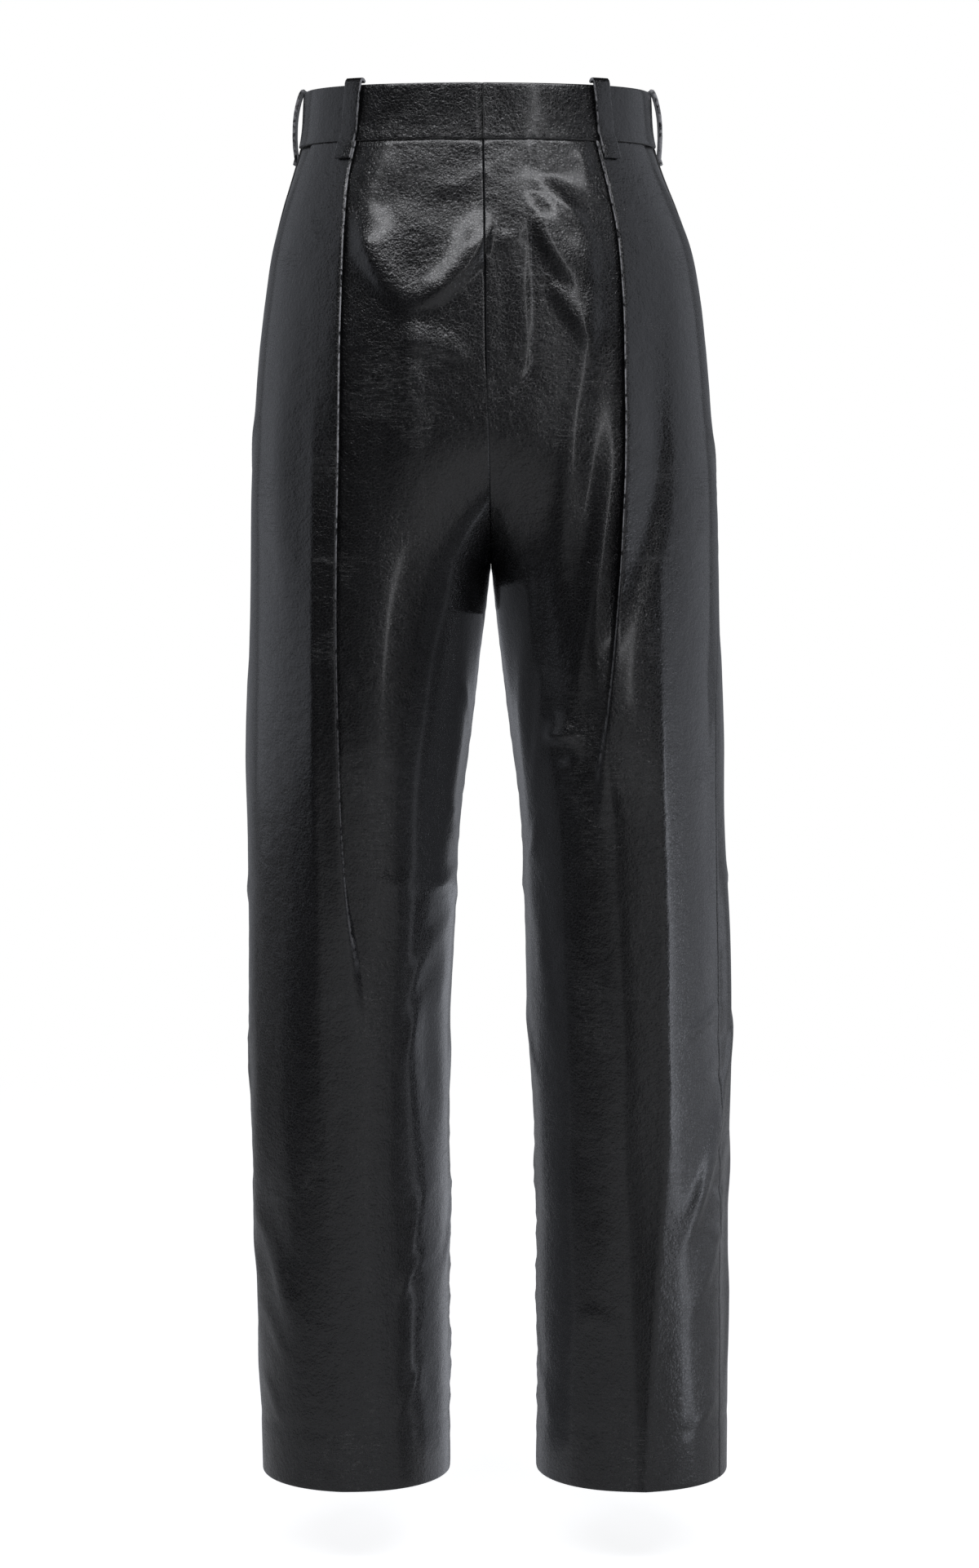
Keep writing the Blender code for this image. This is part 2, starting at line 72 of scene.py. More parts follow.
# Waistband
BAND_HEIGHT = 0.0415
BAND_WALL = 0.0026
BAND_PROUD = 0.0008
BAND_UNDERLAP = 0.036
BAND_DIP = 0.0045
BAND_EDGE = 0.0008
BAND_LEAN = 0.0024

# Rise and inseam
RISE_TURN_DROP = 0.250
CROTCH_DROP = 0.362
ROUND_FROM = 0.250
ROUND_TO = 0.520
SEAM_PULL = 12.0
RELIEF_FADE = 0.030
LEG_FULLNESS = 2.15
INSEAM_SET_BACK = 0.012
CLOSE_FROM = 0.212
CLOSE_TO = 0.372
CLOSE_OVER = 0.010
CLOSE_REACH = 0.009

# Fly shield and slanted pockets
SHIELD_DROP = 0.226
SHIELD_OVER = 0.038
SHIELD_UNDER = 0.012
POCKET_DROP = 0.200
POCKET_SET_BACK = 0.040
FACING_UNDER = 0.014
LAYER_DEPTH = 0.0018
FLY_EDGE_RISE = 0.0008
FLY_EDGE_REACH = 0.006
FLY_END_DROP = 0.233
FLY_END_BELOW = 0.02
FLY_END_FADE = 0.03

# Pleats
UNDER_TURN = 0.0014
VISIBLE_TURN = 0.0052
PLEAT_SINK = 0.35
PLEAT_RUN_IN = 0.045
PLEAT_RUN_OUT = 0.075
LEAST_TURN = 0.01

# Painted highlight along the pleats' visible folds, full at the waist and least below its end drop
FOLD_HIGHLIGHT_TURN = math.radians(62)
FOLD_HIGHLIGHT_SPREAD = math.radians(17)
FOLD_HIGHLIGHT_END = 0.420
FOLD_HIGHLIGHT_FADE = 0.160
FOLD_HIGHLIGHT_LEAST = 0.25

# Belt loops
LOOP_WIDTH = 0.0138
LOOP_WALL = 0.0024
LOOP_EDGE = 0.0004
# How pale the loops' edges are painted: part worn edge, part painted highlight
LOOP_EDGE_WEAR_AND_HIGHLIGHT = 0.55
LOOP_LEAN = 0.006
LOOP_TWIST = math.radians(7)
LOOP_REACH = 0.0105
LOOP_CLEAR = 0.62
LOOP_BULGE = 0.0005
LOOP_FREE_FROM = 0.006
LOOP_FREE_TO = 0.008
LOOP_ACROSS = (-0.5, -0.46, *np.linspace(-0.40, 0.40, 7), 0.46, 0.5)

# Mesh steps
OUTLINE_POINTS = 481
DENSE_POINTS = 4 * OUTLINE_POINTS
ROW_STEP = 0.0042
HEM_ROWS = 10
CENTRE_COLUMNS = 38
TURN_COLUMNS = 13
TOP_COLUMNS = 50
BACK_COLUMNS = 96
FACING_ROWS = 40
FACING_COLUMNS = 22
BAND_ROWS = 14
BAND_COLUMNS = 130
UNDERLAP_COLUMNS = 14
SHIELD_ROWS = 46
SHIELD_UNDER_COLUMNS = 5
SHIELD_OVER_COLUMNS = 14
CROWDING = 0.75
FAR_AWAY = 1.0

# One row per height. mid is the middle seam's x and lean the x of the middle between
# the outer edges, because the garment hangs a little askew. front and back are depths.
SECTION_COLUMNS = (
    "drop", "mid", "lean", "half_width", "half_gap", "front", "back", "fullness",
)
SECTIONS = (
    (0.000, 0.0040, -0.0002, 0.1335, 0.0002, 0.0860, 0.0860, 2.20),
    (0.042, 0.0046, 0.0000, 0.1370, 0.0002, 0.0870, 0.0880, 2.20),
    (0.060, 0.0048, 0.0004, 0.1425, 0.0002, 0.0905, 0.0930, 2.22),
    (0.085, 0.0052, 0.0016, 0.1515, 0.0002, 0.0960, 0.1010, 2.25),
    (0.115, 0.0056, 0.0032, 0.1608, 0.0002, 0.1005, 0.1090, 2.30),
    (0.150, 0.0061, 0.0040, 0.1670, 0.0002, 0.1035, 0.1170, 2.36),
    (0.200, 0.0068, 0.0040, 0.1730, 0.0002, 0.1060, 0.1250, 2.46),
    (0.250, 0.0080, 0.0042, 0.1768, 0.0002, 0.1070, 0.1280, 2.58),
    (0.300, 0.0093, 0.0049, 0.1803, 0.0002, 0.1072, 0.1260, 2.70),
    (0.362, 0.0103, 0.0054, 0.1823, 0.0003, 0.1065, 0.1170, 2.80),
    (0.400, 0.0102, 0.0054, 0.1832, 0.0041, 0.1050, 0.1110, 2.80),
    (0.450, 0.0100, 0.0055, 0.1849, 0.0111, 0.1020, 0.1040, 2.70),
    (0.500, 0.0101, 0.0055, 0.1861, 0.0175, 0.0985, 0.0980, 2.60),
    (0.560, 0.0098, 0.0063, 0.1870, 0.0238, 0.0940, 0.0920, 2.50),
    (0.640, 0.0095, 0.0081, 0.1882, 0.0274, 0.0895, 0.0875, 2.50),
    (0.720, 0.0086, 0.0083, 0.1887, 0.0305, 0.0860, 0.0855, 2.50),
    (0.800, 0.0108, 0.0095, 0.1884, 0.0333, 0.0830, 0.0840, 2.50),
    (0.880, 0.0121, 0.0115, 0.1868, 0.0340, 0.0810, 0.0820, 2.50),
    (0.960, 0.0124, 0.0123, 0.1860, 0.0348, 0.0800, 0.0800, 2.50),
    (1.078, 0.0121, 0.0134, 0.1845, 0.0341, 0.0790, 0.0780, 2.50),
)

# The pleat of each front: x from the middle seam to its visible fold, the angle that
# the cloth turns through and the width of the hidden middle layer.
PLEAT_COLUMNS = ("drop", "place", "turn", "tuck")
PLEATS = {
    "left": (
        (0.042, 0.0840, 180.0, 0.0150),
        (0.072, 0.0912, 180.0, 0.0150),
        (0.108, 0.0982, 178.0, 0.0140),
        (0.152, 0.1015, 174.0, 0.0125),
        (0.230, 0.1015, 164.0, 0.0105),
        (0.315, 0.0988, 148.0, 0.0085),
        (0.396, 0.0945, 128.0, 0.0068),
        (0.460, 0.0890, 100.0, 0.0052),
        (0.510, 0.0830, 50.0, 0.0040),
        (0.550, 0.0815, 8.0, 0.0036),
        (1.078, 0.1000, 1.0, 0.0036),
    ),
    "right": (
        (0.042, 0.0952, 180.0, 0.0150),
        (0.068, 0.1011, 180.0, 0.0150),
        (0.100, 0.1042, 178.0, 0.0140),
        (0.167, 0.1076, 172.0, 0.0120),
        (0.260, 0.1110, 162.0, 0.0105),
        (0.363, 0.1150, 150.0, 0.0090),
        (0.460, 0.1145, 136.0, 0.0078),
        (0.560, 0.1122, 116.0, 0.0064),
        (0.620, 0.1080, 84.0, 0.0050),
        (0.670, 0.1020, 34.0, 0.0040),
        (0.710, 0.0990, 6.0, 0.0036),
        (1.078, 0.1000, 1.0, 0.0036),
    ),
}

# The pressed crease down each leg: x from the middle seam, height and the half width
# towards the inseam and towards the side.
CREASE_COLUMNS = ("drop", "place", "height", "inner", "outer")
CREASES = {
    "left": (
        (0.280, 0.1260, 0.0000, 0.018, 0.020),
        (0.420, 0.1275, 0.0024, 0.018, 0.020),
        (0.520, 0.1280, 0.0046, 0.016, 0.020),
        (0.630, 0.1320, 0.0056, 0.015, 0.020),
        (0.800, 0.1335, 0.0060, 0.014, 0.020),
        (0.900, 0.1265, 0.0054, 0.014, 0.020),
        (0.960, 0.1230, 0.0042, 0.015, 0.018),
        (1.078, 0.1180, 0.0026, 0.016, 0.018),
    ),
    "right": (
        (0.230, 0.1290, 0.0000, 0.014, 0.020),
        (0.320, 0.1310, 0.0030, 0.013, 0.020),
        (0.420, 0.1315, 0.0044, 0.012, 0.020),
        (0.560, 0.1310, 0.0044, 0.012, 0.020),
        (0.640, 0.1300, 0.0026, 0.014, 0.020),
        (0.740, 0.1290, 0.0012, 0.018, 0.018),
        (1.078, 0.1180, 0.0016, 0.018, 0.018),
    ),
}

# Where the side seam runs, as a share of the outline from its front to its back end.
SIDE_SEAM_COLUMNS = ("drop", "left", "right")
SIDE_SEAMS = (
    (0.000, 0.500, 0.500),
    (0.200, 0.496, 0.505),
    (0.300, 0.470, 0.520),
    (0.420, 0.452, 0.525),
    (0.560, 0.430, 0.525),
    (0.800, 0.420, 0.525),
    (1.078, 0.420, 0.525),
)

# The largest soft folds. share is the place round the outline, slant its change over
# one metre of drop. A negative height is a trough.
FOLD_COLUMNS = ("side", "share", "drop", "length", "spread", "slant", "height")
FOLDS = (
    ("left", 0.205, 0.300, 0.420, 0.014, -0.06, 0.0034),
    ("left", 0.262, 0.330, 0.360, 0.012, -0.12, -0.0030),
    ("left", 0.100, 0.470, 0.300, 0.014, -0.10, 0.0030),
    ("left", 0.480, 0.700, 0.360, 0.016, 0.10, 0.0032),
    ("left", 0.460, 0.900, 0.300, 0.015, -0.16, -0.0030),
    ("left", 0.700, 0.560, 0.300, 0.018, 0.08, -0.0036),
    ("left", 0.640, 0.330, 0.260, 0.018, -0.12, 0.0034),
    ("left", 0.820, 0.420, 0.240, 0.016, 0.20, -0.0036),
    ("right", 0.330, 0.300, 0.300, 0.016, 0.06, 0.0030),
    ("right", 0.090, 0.500, 0.300, 0.014, 0.10, 0.0032),
    ("right", 0.120, 0.720, 0.260, 0.014, -0.20, -0.0030),
    ("right", 0.440, 0.860, 0.340, 0.016, 0.14, 0.0032),
    ("right", 0.700, 0.600, 0.320, 0.018, -0.08, -0.0036),
    ("right", 0.620, 0.340, 0.260, 0.018, 0.10, 0.0034),
    ("right", 0.830, 0.430, 0.240, 0.016, -0.20, -0.0036),
)

# Creases seen from the front or the back, in millimetres: where each starts and ends
# (x and drop), how far it bows sideways, its half width on each flank and its height.
STROKE_COLUMNS = (
    "from_x", "from_drop", "to_x", "to_drop", "bow", "near", "far", "height",
)
FRONT_STROKES = (
    # right front: the two arms of the fold that meets at the fly, and its stem
    (14, 93, -64, 171, 16, 16, 6, 5.9),
    (-92, 95, -46, 178, -6, 8, 16, 4.0),
    (-100, 89, 24, 92, 1, 20, 22, -2.0),
    (-68, 88, -28, 122, 1, 3.5, 12, 0.5),
    (-52, 146, -44, 292, -2, 8, 8, 1.9),
    (-66, 190, 2, 208, 2, 5, 13, 2.5),
    (-70, 190, -78, 330, 2, 13, 12, -1.2),
    # pulls from the waistband seam to the fly
    (14, 64, -52, 78, 5, 5, 4, 0.9),
    (8, 54, -24, 43, -1, 1.6, 2.0, 0.45),
    (8, 48, -12, 43, -0.5, 1.0, 1.2, 0.25),
    (-66, 212, -30, 226, -3, 5, 6, 0.5),
    # between the fly edge and the stitch
    (34, 48, 7, 86, -2, 8, 5, 0.4),
    (6, 122, 41, 99, -7, 5, 8, 1.5),
    (36, 112, 39, 56, 0, 4, 12, 0.9),
    (33, 122, 36, 206, 1, 8, 5, 0.9),
    (12, 132, 14, 190, 1, 4, 4, 0.4),
    # left front: two curved pulls and the bands that fall from them
    (32, 66, 86, 124, 7, 4, 7, 2.1),
    (40, 78, 82, 156, -8, 5, 22, 5.0),
    (52, 138, 92, 204, -3, 4, 18, 3.4),
    (41, 58, 57, 67, 1, 2.5, 4, 0.5),
    (20, 74, 104, 80, 0, 14, 22, -1.3),
    (77, 46, 85, 76, 1, 4, 3, 0.6),
    (80, 96, 77, 256, 4, 11, 9, 2.0),
    (77, 200, 59, 450, -3, 7, 9, 2.0),
    (101, 270, 66, 500, 4, 6.5, 8, 2.1),
    (88, 250, 74, 440, 1, 6, 6, -1.2),
    # the hollow beside the left pleat
    (133, 66, 137, 470, 2, 16, 12, -1.3),
    (124, 320, 134, 460, 1, 1.2, 1.6, 0.25),
    # the wedge where the second band ends
    (47, 490, 79, 494, 1.5, 3, 9.5, 5.6),
    (72, 484, 68, 520, 2, 6, 5, 1.2),
    (52, 500, 92, 520, 4, 9, 10, -1.6),
    # thighs
    (20, 290, 30, 420, -4, 12, 14, 1.2),
    (-84, 380, -70, 600, 4, 18, 18, 0.6),
    (-60, 430, -24, 610, 6, 20, 18, -0.6),
    # right leg, inner edge to knee
    (-16, 440, -7, 500, 2, 1.8, 3.0, 1.2),
    (-24, 520, -8, 600, -3, 5, 6, 1.3),
    (-10, 545, -26, 552, 1, 2.5, 3.5, 0.6),
    (-8, 560, -28, 570, 1, 2.5, 3.5, 0.6),
    (-6, 590, -50, 612, 3, 3.5, 6, 1.7),
    (-44, 600, -84, 596, 4, 5, 8, 0.9),
    (-14, 618, -54, 700, -4, 4, 9, 2.0),
    (-20, 660, -62, 760, -4, 5, 10, 1.5),
    (-26, 640, -36, 720, 3, 4, 5, 0.9),
    (-30, 720, -40, 850, 4, 5, 7, 1.1),
    (-34, 830, -52, 900, -3, 5, 8, 1.0),
    (-30, 890, -62, 935, -8, 3, 5, 1.1),
    (-34, 960, -78, 1046, 3, 3, 6, 0.9),
    (-40, 930, -34, 1040, -2, 6, 6, -0.8),
    (-92, 700, -88, 1060, 3, 20, 18, 1.0),
    (-60, 780, -66, 1000, -3, 14, 14, -1.0),
    # right leg, outer edge
    (-172, 700, -166, 880, 2, 5, 8, 1.0),
    (-176, 850, -143, 972, 4, 4.5, 8, 2.0),
    (-172, 930, -146, 990, 3, 3.5, 5, 1.0),
    (-174, 990, -152, 1034, 2, 3.5, 5, 1.0),
    (-163, 560, -160, 700, -2, 6, 8, 0.8),
    # left leg, inner edge
    (50, 420, 46, 560, -2, 2.6, 4, 1.4),
    (46, 548, 35, 604, 3, 2.6, 5, 1.3),
    (38, 590, 50, 690, 3, 4, 5, 1.3),
    (42, 640, 56, 740, 3, 5, 6, 0.9),
    (44, 720, 52, 880, 2, 5, 7, 0.9),
    (44, 860, 60, 1010, -3, 5, 8, 0.9),
    (48, 980, 56, 1050, 3, 3.5, 5, 0.8),
    (66, 600, 74, 780, 2, 9, 9, 1.1),
    (90, 590, 112, 800, -5, 10, 10, -1.0),
    (70, 780, 96, 900, 4, 12, 12, -1.1),
    (72, 940, 118, 960, 5, 10, 10, 0.9),
    (96, 700, 100, 1040, 2, 18, 16, 0.8),
    # left leg, outer edge
    (190, 697, 152, 724, 3, 3, 5, 1.2),
    (196, 735, 166, 760, 2, 4, 6, 0.8),
    (193, 742, 157, 898, 5, 7.5, 3.6, 3.5),
    (185, 630, 186, 756, 1, 2, 2.5, 0.5),
    (195, 838, 164, 950, 4, 7, 4, 1.4),
    (193, 930, 168, 1040, 3, 4, 6, 0.6),
    (190, 1000, 164, 1040, 2, 3, 5, 0.8),
    (186, 440, 184, 640, -2, 4, 6, 1.0),
    (178, 400, 180, 560, 2, 4, 5, -0.8),
)
BACK_STROKES = (
    # seat
    (-20, 120, -110, 150, -6, 9, 12, 1.2),
    (22, 128, 120, 150, 6, 9, 12, 1.2),
    (-12, 210, -70, 330, 8, 7, 12, 2.0),
    (30, 215, 84, 340, -8, 7, 12, 2.0),
    (-10, 270, -46, 372, 5, 5, 9, 1.6),
    (26, 270, 62, 378, -5, 5, 9, 1.6),
    (-60, 300, -140, 360, -6, 6, 10, 1.2),
    (80, 300, 150, 352, 6, 6, 10, 1.2),
    # under the seat
    (-30, 390, -110, 430, -8, 5, 10, 1.7),
    (46, 388, 128, 436, 8, 5, 10, 1.7),
    (-40, 440, -96, 470, -5, 4, 8, 1.1),
    (60, 446, 112, 470, 5, 4, 8, 1.1),
    # behind the knees
    (-52, 590, -150, 622, -5, 4.5, 9, 2.0),
    (-46, 630, -138, 640, 4, 4.5, 8, 1.5),
    (-60, 664, -150, 690, -5, 4.5, 9, 1.5),
    (70, 596, 168, 616, 5, 4.5, 9, 2.0),
    (64, 634, 150, 652, -4, 4.5, 8, 1.5),
    (80, 674, 166, 690, 5, 4.5, 9, 1.5),
    # falls to the hem
    (-96, 420, -104, 600, 3, 12, 14, 1.4),
    (112, 420, 122, 600, -3, 12, 14, 1.4),
    (-74, 700, -66, 1040, 4, 14, 12, 1.6),
    (-128, 740, -138, 1040, -4, 12, 12, 1.4),
    (96, 700, 88, 1040, -4, 14, 12, 1.6),
    (150, 740, 160, 1040, 4, 12, 12, 1.4),
)
# Creases seen from each side: y and drop instead of x and drop.
OUTSIDE_STROKES = {
    "left": (
        (-46, 250, 30, 330, 6, 6, 10, 1.2),
        (20, 380, -10, 560, 5, 9, 12, 1.5),
        (-20, 600, 36, 636, 4, 5, 9, 1.3),
        (10, 700, -34, 770, -4, 5, 9, 1.5),
        (30, 760, -20, 880, 5, 6, 10, 1.6),
        (0, 900, -30, 1020, 3, 6, 9, 1.3),
        (40, 860, 46, 1040, 3, 9, 9, 1.2),
    ),
    "right": (
        (-46, 240, 30, 320, 6, 6, 10, 1.2),
        (24, 400, 0, 580, -5, 9, 12, 1.5),
        (-26, 610, 30, 640, 4, 5, 9, 1.2),
        (24, 690, -26, 790, 5, 6, 10, 1.4),
        (10, 820, -40, 930, 4, 5, 9, 1.6),
        (20, 930, -14, 1030, -3, 6, 9, 1.3),
    ),
}
STROKE_FADE_IN = 0.34
STROKE_FADE_OUT = 0.40

# Where a surface counts as turned away from the front or back view, and the share of
# the outline at which the outer side's strokes end
TURNED_AWAY = 0.10
TURN_BLEND = 0.35
OUTSIDE_END = 0.75

# Slight waves all over the leather. The warp bends the strokes by the same waves.
UNEVEN = 0.00022
FRONT_WARP = 0.0022
WAVE_SEED = 11
WAVES = 26
WAVE_UPRIGHT = 0.55
WAVE_LENGTHS = (0.022, 0.090)
WAVE_PHASES = 6.28
WAVE_LEVEL = 0.5

# Short gathers along each seam: their height, how much more on the lower leg, how far
# they reach from the seam and their pitch along it.
PUCKER_COLUMNS = ("height", "lower", "reach", "pitch")
PUCKERS = {
    "inseam": (0.00030, 0.00042, 0.011, 0.023),
    "rise": (0.00022, 0.0, 0.008, 0.017),
    "side": (0.00016, 0.00045, 0.012, 0.026),
    "waist": (0.00012, 0.0, 0.010, 0.021),
}
SIDE_PUCKER_SHIFT = 0.3
LEGS_OVER = 0.20
LOWER_FROM = 0.62
LOWER_OVER = 0.25
LOWER_TO = 1.045
LOWER_FADE = 0.02

# The gathers' own irregularity, in pitches and shares of their height
PUCKER_SLANT = 0.5
SWAY = 2.1
SWAY_PITCH = 1.9
FINE_HEIGHT = 0.6
FINE_PITCH = 0.57
FINE_PHASE = 1.7
SWELL_LEVEL = 0.55
SWELL = 0.45
SWELL_PITCH = 3.1
SWELL_PHASE = 0.8

# The stitch line of the fly, x and drop in millimetres.
FLY_STITCH = (
    (39.6, 43.5), (40.1, 80.0), (40.2, 121.0), (41.0, 160.0), (41.5, 196.0),
    (41.0, 210.0), (38.4, 218.5), (33.6, 223.8), (28.1, 226.8), (18.0, 230.4),
    (8.8, 232.8),
)
STITCH_PITCH = 0.0034
STITCH_LENGTH = 0.0025
STITCH_RADIUS = 0.00032
STITCH_PROUD = 0.0001
STITCH_TROUGH = 0.0015
STITCH_TROUGH_REACH = 0.0021
STITCH_TROUGH_WIDTH = 0.06
STITCH_TROUGH_DROP = 0.26
STITCH_LINE_STEPS = 24
STITCH_LINE_SKIP = 6

# The strip of a belt loop, out from the band's face and up from its top edge.
LOOP_PATHS = {
    "standing": (
        (-0.0016, 0.0016), (-0.0008, 0.0027), (0.0002, 0.0034), (0.0016, 0.0038),
        (0.0028, 0.0038), (0.0039, 0.0026), (0.0044, 0.0008), (0.0046, -0.0050),
        (0.0047, -0.0100), (0.0047, -0.0165), (0.0047, -0.0230), (0.0046, -0.0295),
        (0.0044, -0.0350),
    ),
    "bowed": (
        (-0.0016, 0.0016), (-0.0005, 0.0021), (0.0006, 0.0018), (0.0017, 0.0002),
        (0.0028, -0.0024), (0.0039, -0.0056), (0.0048, -0.0090), (0.0057, -0.0130),
        (0.0064, -0.0170), (0.0069, -0.0210), (0.0072, -0.0250), (0.0075, -0.0330),
        (0.0073, -0.0410),
    ),
}
LOOP_ENDS = {
    "standing": (-0.0440, -0.0470, -0.0500, -0.0520, -0.0535, -0.0550),
    "bowed": (-0.0495, -0.0515, -0.0530, -0.0540),
}
LOOP_PLACES = (
    ("front_left", "left", 0.262, "standing"),
    ("front_right", "right", 0.274, "standing"),
    ("side_left", "left", 0.520, "bowed"),
    ("side_right", "right", 0.520, "bowed"),
    ("back", "left", 1.000, "standing"),
)


# Outlines


def on_curve(values, slopes, low, step, t):
    """A point of a smooth curve, t of the way from one row to the next."""
    return (
        (1 + 2 * t) * (1 - t) ** 2 * values[low]
        + t * (1 - t) ** 2 * step * slopes[low]
        + t**2 * (3 - 2 * t) * values[low + 1]
        + t**2 * (t - 1) * step * slopes[low + 1]
    )


def smooth_row(columns, table, drop):
    """The table's values at one drop, on a smooth curve through its rows."""
    values = np.array(table, dtype=float)
    drops = values[:, 0]
    slopes = np.gradient(values, drops, axis=0)
    drop = min(max(drop, drops[0]), drops[-1])
    low = min(max(int(np.searchsorted(drops, drop)) - 1, 0), len(drops) - 2)
    step = drops[low + 1] - drops[low]
    t = (drop - drops[low]) / step
    return dict(zip(columns, on_curve(values, slopes, low, step, t)))


def ease(value):
    value = np.clip(value, 0, 1)
    return value * value * (3 - 2 * value)


def power(value, fullness):
    return np.sign(value) * np.abs(value) ** (2 / fullness)


def evenly(points):
    """The outline's points again, evenly spaced along it."""
    steps = np.hypot(*np.diff(points, axis=0).T)
    walked = np.concatenate([[0], np.cumsum(steps)])
    even = np.linspace(0, walked[-1], OUTLINE_POINTS)
    return np.stack([np.interp(even, walked, points[:, k]) for k in (0, 1)], axis=1)


class Outline:
    """One half's outline at one height, in x outwards from the middle seam and y."""

    def __init__(self, side, drop):
        row = smooth_row(SECTION_COLUMNS, SECTIONS, drop)
        self.side = side
        self.sign = 1 if side == "left" else -1
        self.drop = drop
        self.mid = row["mid"]
        reach = row["half_width"] + self.sign * (row["lean"] - row["mid"])
        points = evenly(self.torso(row, reach))
        share = self.leg_share(drop)[:, None]
        if share.max() > 0:
            points = (1 - share) * points + share * evenly(self.leg(row, reach))
        self.points = points
        self.closed = ease((drop - CLOSE_FROM) / CLOSE_OVER) * ease((CLOSE_TO - drop) / CLOSE_OVER)
        steps = np.hypot(*np.diff(points, axis=0).T)
        self.walked = np.concatenate([[0], np.cumsum(steps)])
        self.length = self.walked[-1]
        tangent = np.gradient(points, self.walked, axis=0)
        self.tangent = tangent / np.linalg.norm(tangent, axis=1)[:, None]
        self.outermost = int(np.argmax(points[:, 0]))
        self.reached = np.maximum.accumulate(points[: self.outermost, 0])

    @staticmethod
    def leg_share(drop):
        """How much of the leg's round outline there is, at each point of the outline.

        The ends follow the rise's quarter turn and are one seam from the crotch down.
        The cloth between them rounds slowly, over a longer drop.
        """
        part = (drop - RISE_TURN_DROP) / (CROTCH_DROP - RISE_TURN_DROP)
        end = 1 - math.sqrt(1 - min(max(part, 0), 1) ** 2)
        middle = ease((drop - ROUND_FROM) / (ROUND_TO - ROUND_FROM))
        nearness = np.abs(np.linspace(-1, 1, OUTLINE_POINTS)) ** SEAM_PULL
        return middle + (end - middle) * nearness

    @staticmethod
    def torso(row, reach):
        angle = np.linspace(0, math.pi, DENSE_POINTS)
        gap = SEWN_GAP / 2 * ease((CLOSE_FROM + CLOSE_OVER - row["drop"]) / CLOSE_OVER)
        across = gap + (reach - gap) * power(np.sin(angle), row["fullness"])
        along = power(np.cos(angle), row["fullness"])
        deep = np.where(along > 0, -row["front"] * along, -row["back"] * along)
        return np.stack([across, deep], axis=1)

    @staticmethod
    def leg(row, reach):
        angle = np.linspace(0, 2 * math.pi, DENSE_POINTS)
        gap = row["half_gap"] * ease((row["drop"] - CROTCH_DROP) / CLOSE_OVER)
        inseam = np.interp(row["drop"], (CROTCH_DROP, OUTSEAM), (INSEAM_SET_BACK, 0.0))
        across = (reach + gap) / 2 - (reach - gap) / 2 * power(np.cos(angle), LEG_FULLNESS)
        along = power(np.sin(angle), LEG_FULLNESS)
        deep = np.where(
            along > 0,
            inseam - (row["front"] + inseam) * along,
            inseam - (row["back"] - inseam) * along,
        )
        return np.stack([across, deep], axis=1)

    def place_of(self, across):
        """The distance walked to where the front first reaches this far out."""
        return float(np.interp(across, self.reached, self.walked[: self.outermost]))

    def at_share(self, share):
        """The distance walked to a share of the leather, front end to back end.

        The shares stay with the leather where the crotch draws the outline's ends in.
        """
        place = share * (OUTLINE_POINTS - 1)
        low = min(int(place), OUTLINE_POINTS - 2)
        return float(self.walked[low] + (place - low) * (self.walked[low + 1] - self.walked[low]))

    def side_seam(self):
        return self.at_share(smooth_row(SIDE_SEAM_COLUMNS, SIDE_SEAMS, self.drop)[self.side])

    def read(self, walked):
        """x, y and the two parts of the walking direction, at places along the outline."""
        x, y = (np.interp(walked, self.walked, self.points[:, k]) for k in (0, 1))
        tx, ty = (np.interp(walked, self.walked, self.tangent[:, k]) for k in (0, 1))
        size = np.hypot(tx, ty)
        return x, y, tx / size, ty / size


@functools.cache
def outline(side, drop):
    return Outline(side, drop)


# Folds, creases and puckers


def stroke(across, drop, row):
    """How far one crease stands out at these places, as seen from its own side."""
    value = dict(zip(STROKE_COLUMNS, np.array(row, dtype=float) * MM))
    run_x = value["to_x"] - value["from_x"]
    run_drop = value["to_drop"] - value["from_drop"]
    length = math.hypot(run_x, run_drop)
    x = across - value["from_x"]
    down = drop - value["from_drop"]
    along = (x * run_x + down * run_drop) / length**2
    aside = (x * run_drop - down * run_x) / length
    aside = aside - value["bow"] * 4 * along * (1 - along)
    fade = ease(along / STROKE_FADE_IN) * ease((1 - along) / STROKE_FADE_OUT)
    spread = np.where(aside < 0, value["near"], value["far"])
    return value["height"] * fade * np.exp(-((aside / spread) ** 2))


@functools.cache
def wave_table():
    """Directions, wave numbers and phases of the leather's slight unevenness."""
    draw = np.random.default_rng(WAVE_SEED)
    heading = draw.normal(size=(WAVES, 3))
    heading[:, 2] *= WAVE_UPRIGHT
    heading /= np.linalg.norm(heading, axis=1)[:, None]
    length = draw.uniform(*WAVE_LENGTHS, WAVES)
    phase = draw.uniform(0, WAVE_PHASES, WAVES)
    return heading * (2 * math.pi / length)[:, None], phase, length


def unevenness(x, y, drop):
    """A slight irregular waviness, about one for its deepest places."""
    numbers, phases, lengths = wave_table()
    total = 0.0
    for (a, b, c), phase, length in zip(numbers, phases, lengths):
        total = total + length * np.sin(a * x + b * y + c * drop + phase)
    return total / (WAVE_LEVEL * lengths.sum())


def pucker(near, along, reach, pitch):
    """Short gathers across a seam: near is the distance from it, along the place on it."""
    bent = along + PUCKER_SLANT * near
    sway = SWAY * np.sin(bent / (SWAY_PITCH * pitch))
    ripple = np.sin(2 * math.pi * bent / pitch + sway)
    ripple += FINE_HEIGHT * np.sin(2 * math.pi * bent / (FINE_PITCH * pitch) + FINE_PHASE)
    swell = SWELL_LEVEL + SWELL * np.sin(bent / (SWELL_PITCH * pitch) + SWELL_PHASE)
    return ripple * swell * np.exp(-near / reach)


def column(values):
    """One value for each row, to go with an array of rows and columns."""
    return np.array(list(values), dtype=float)[:, None]


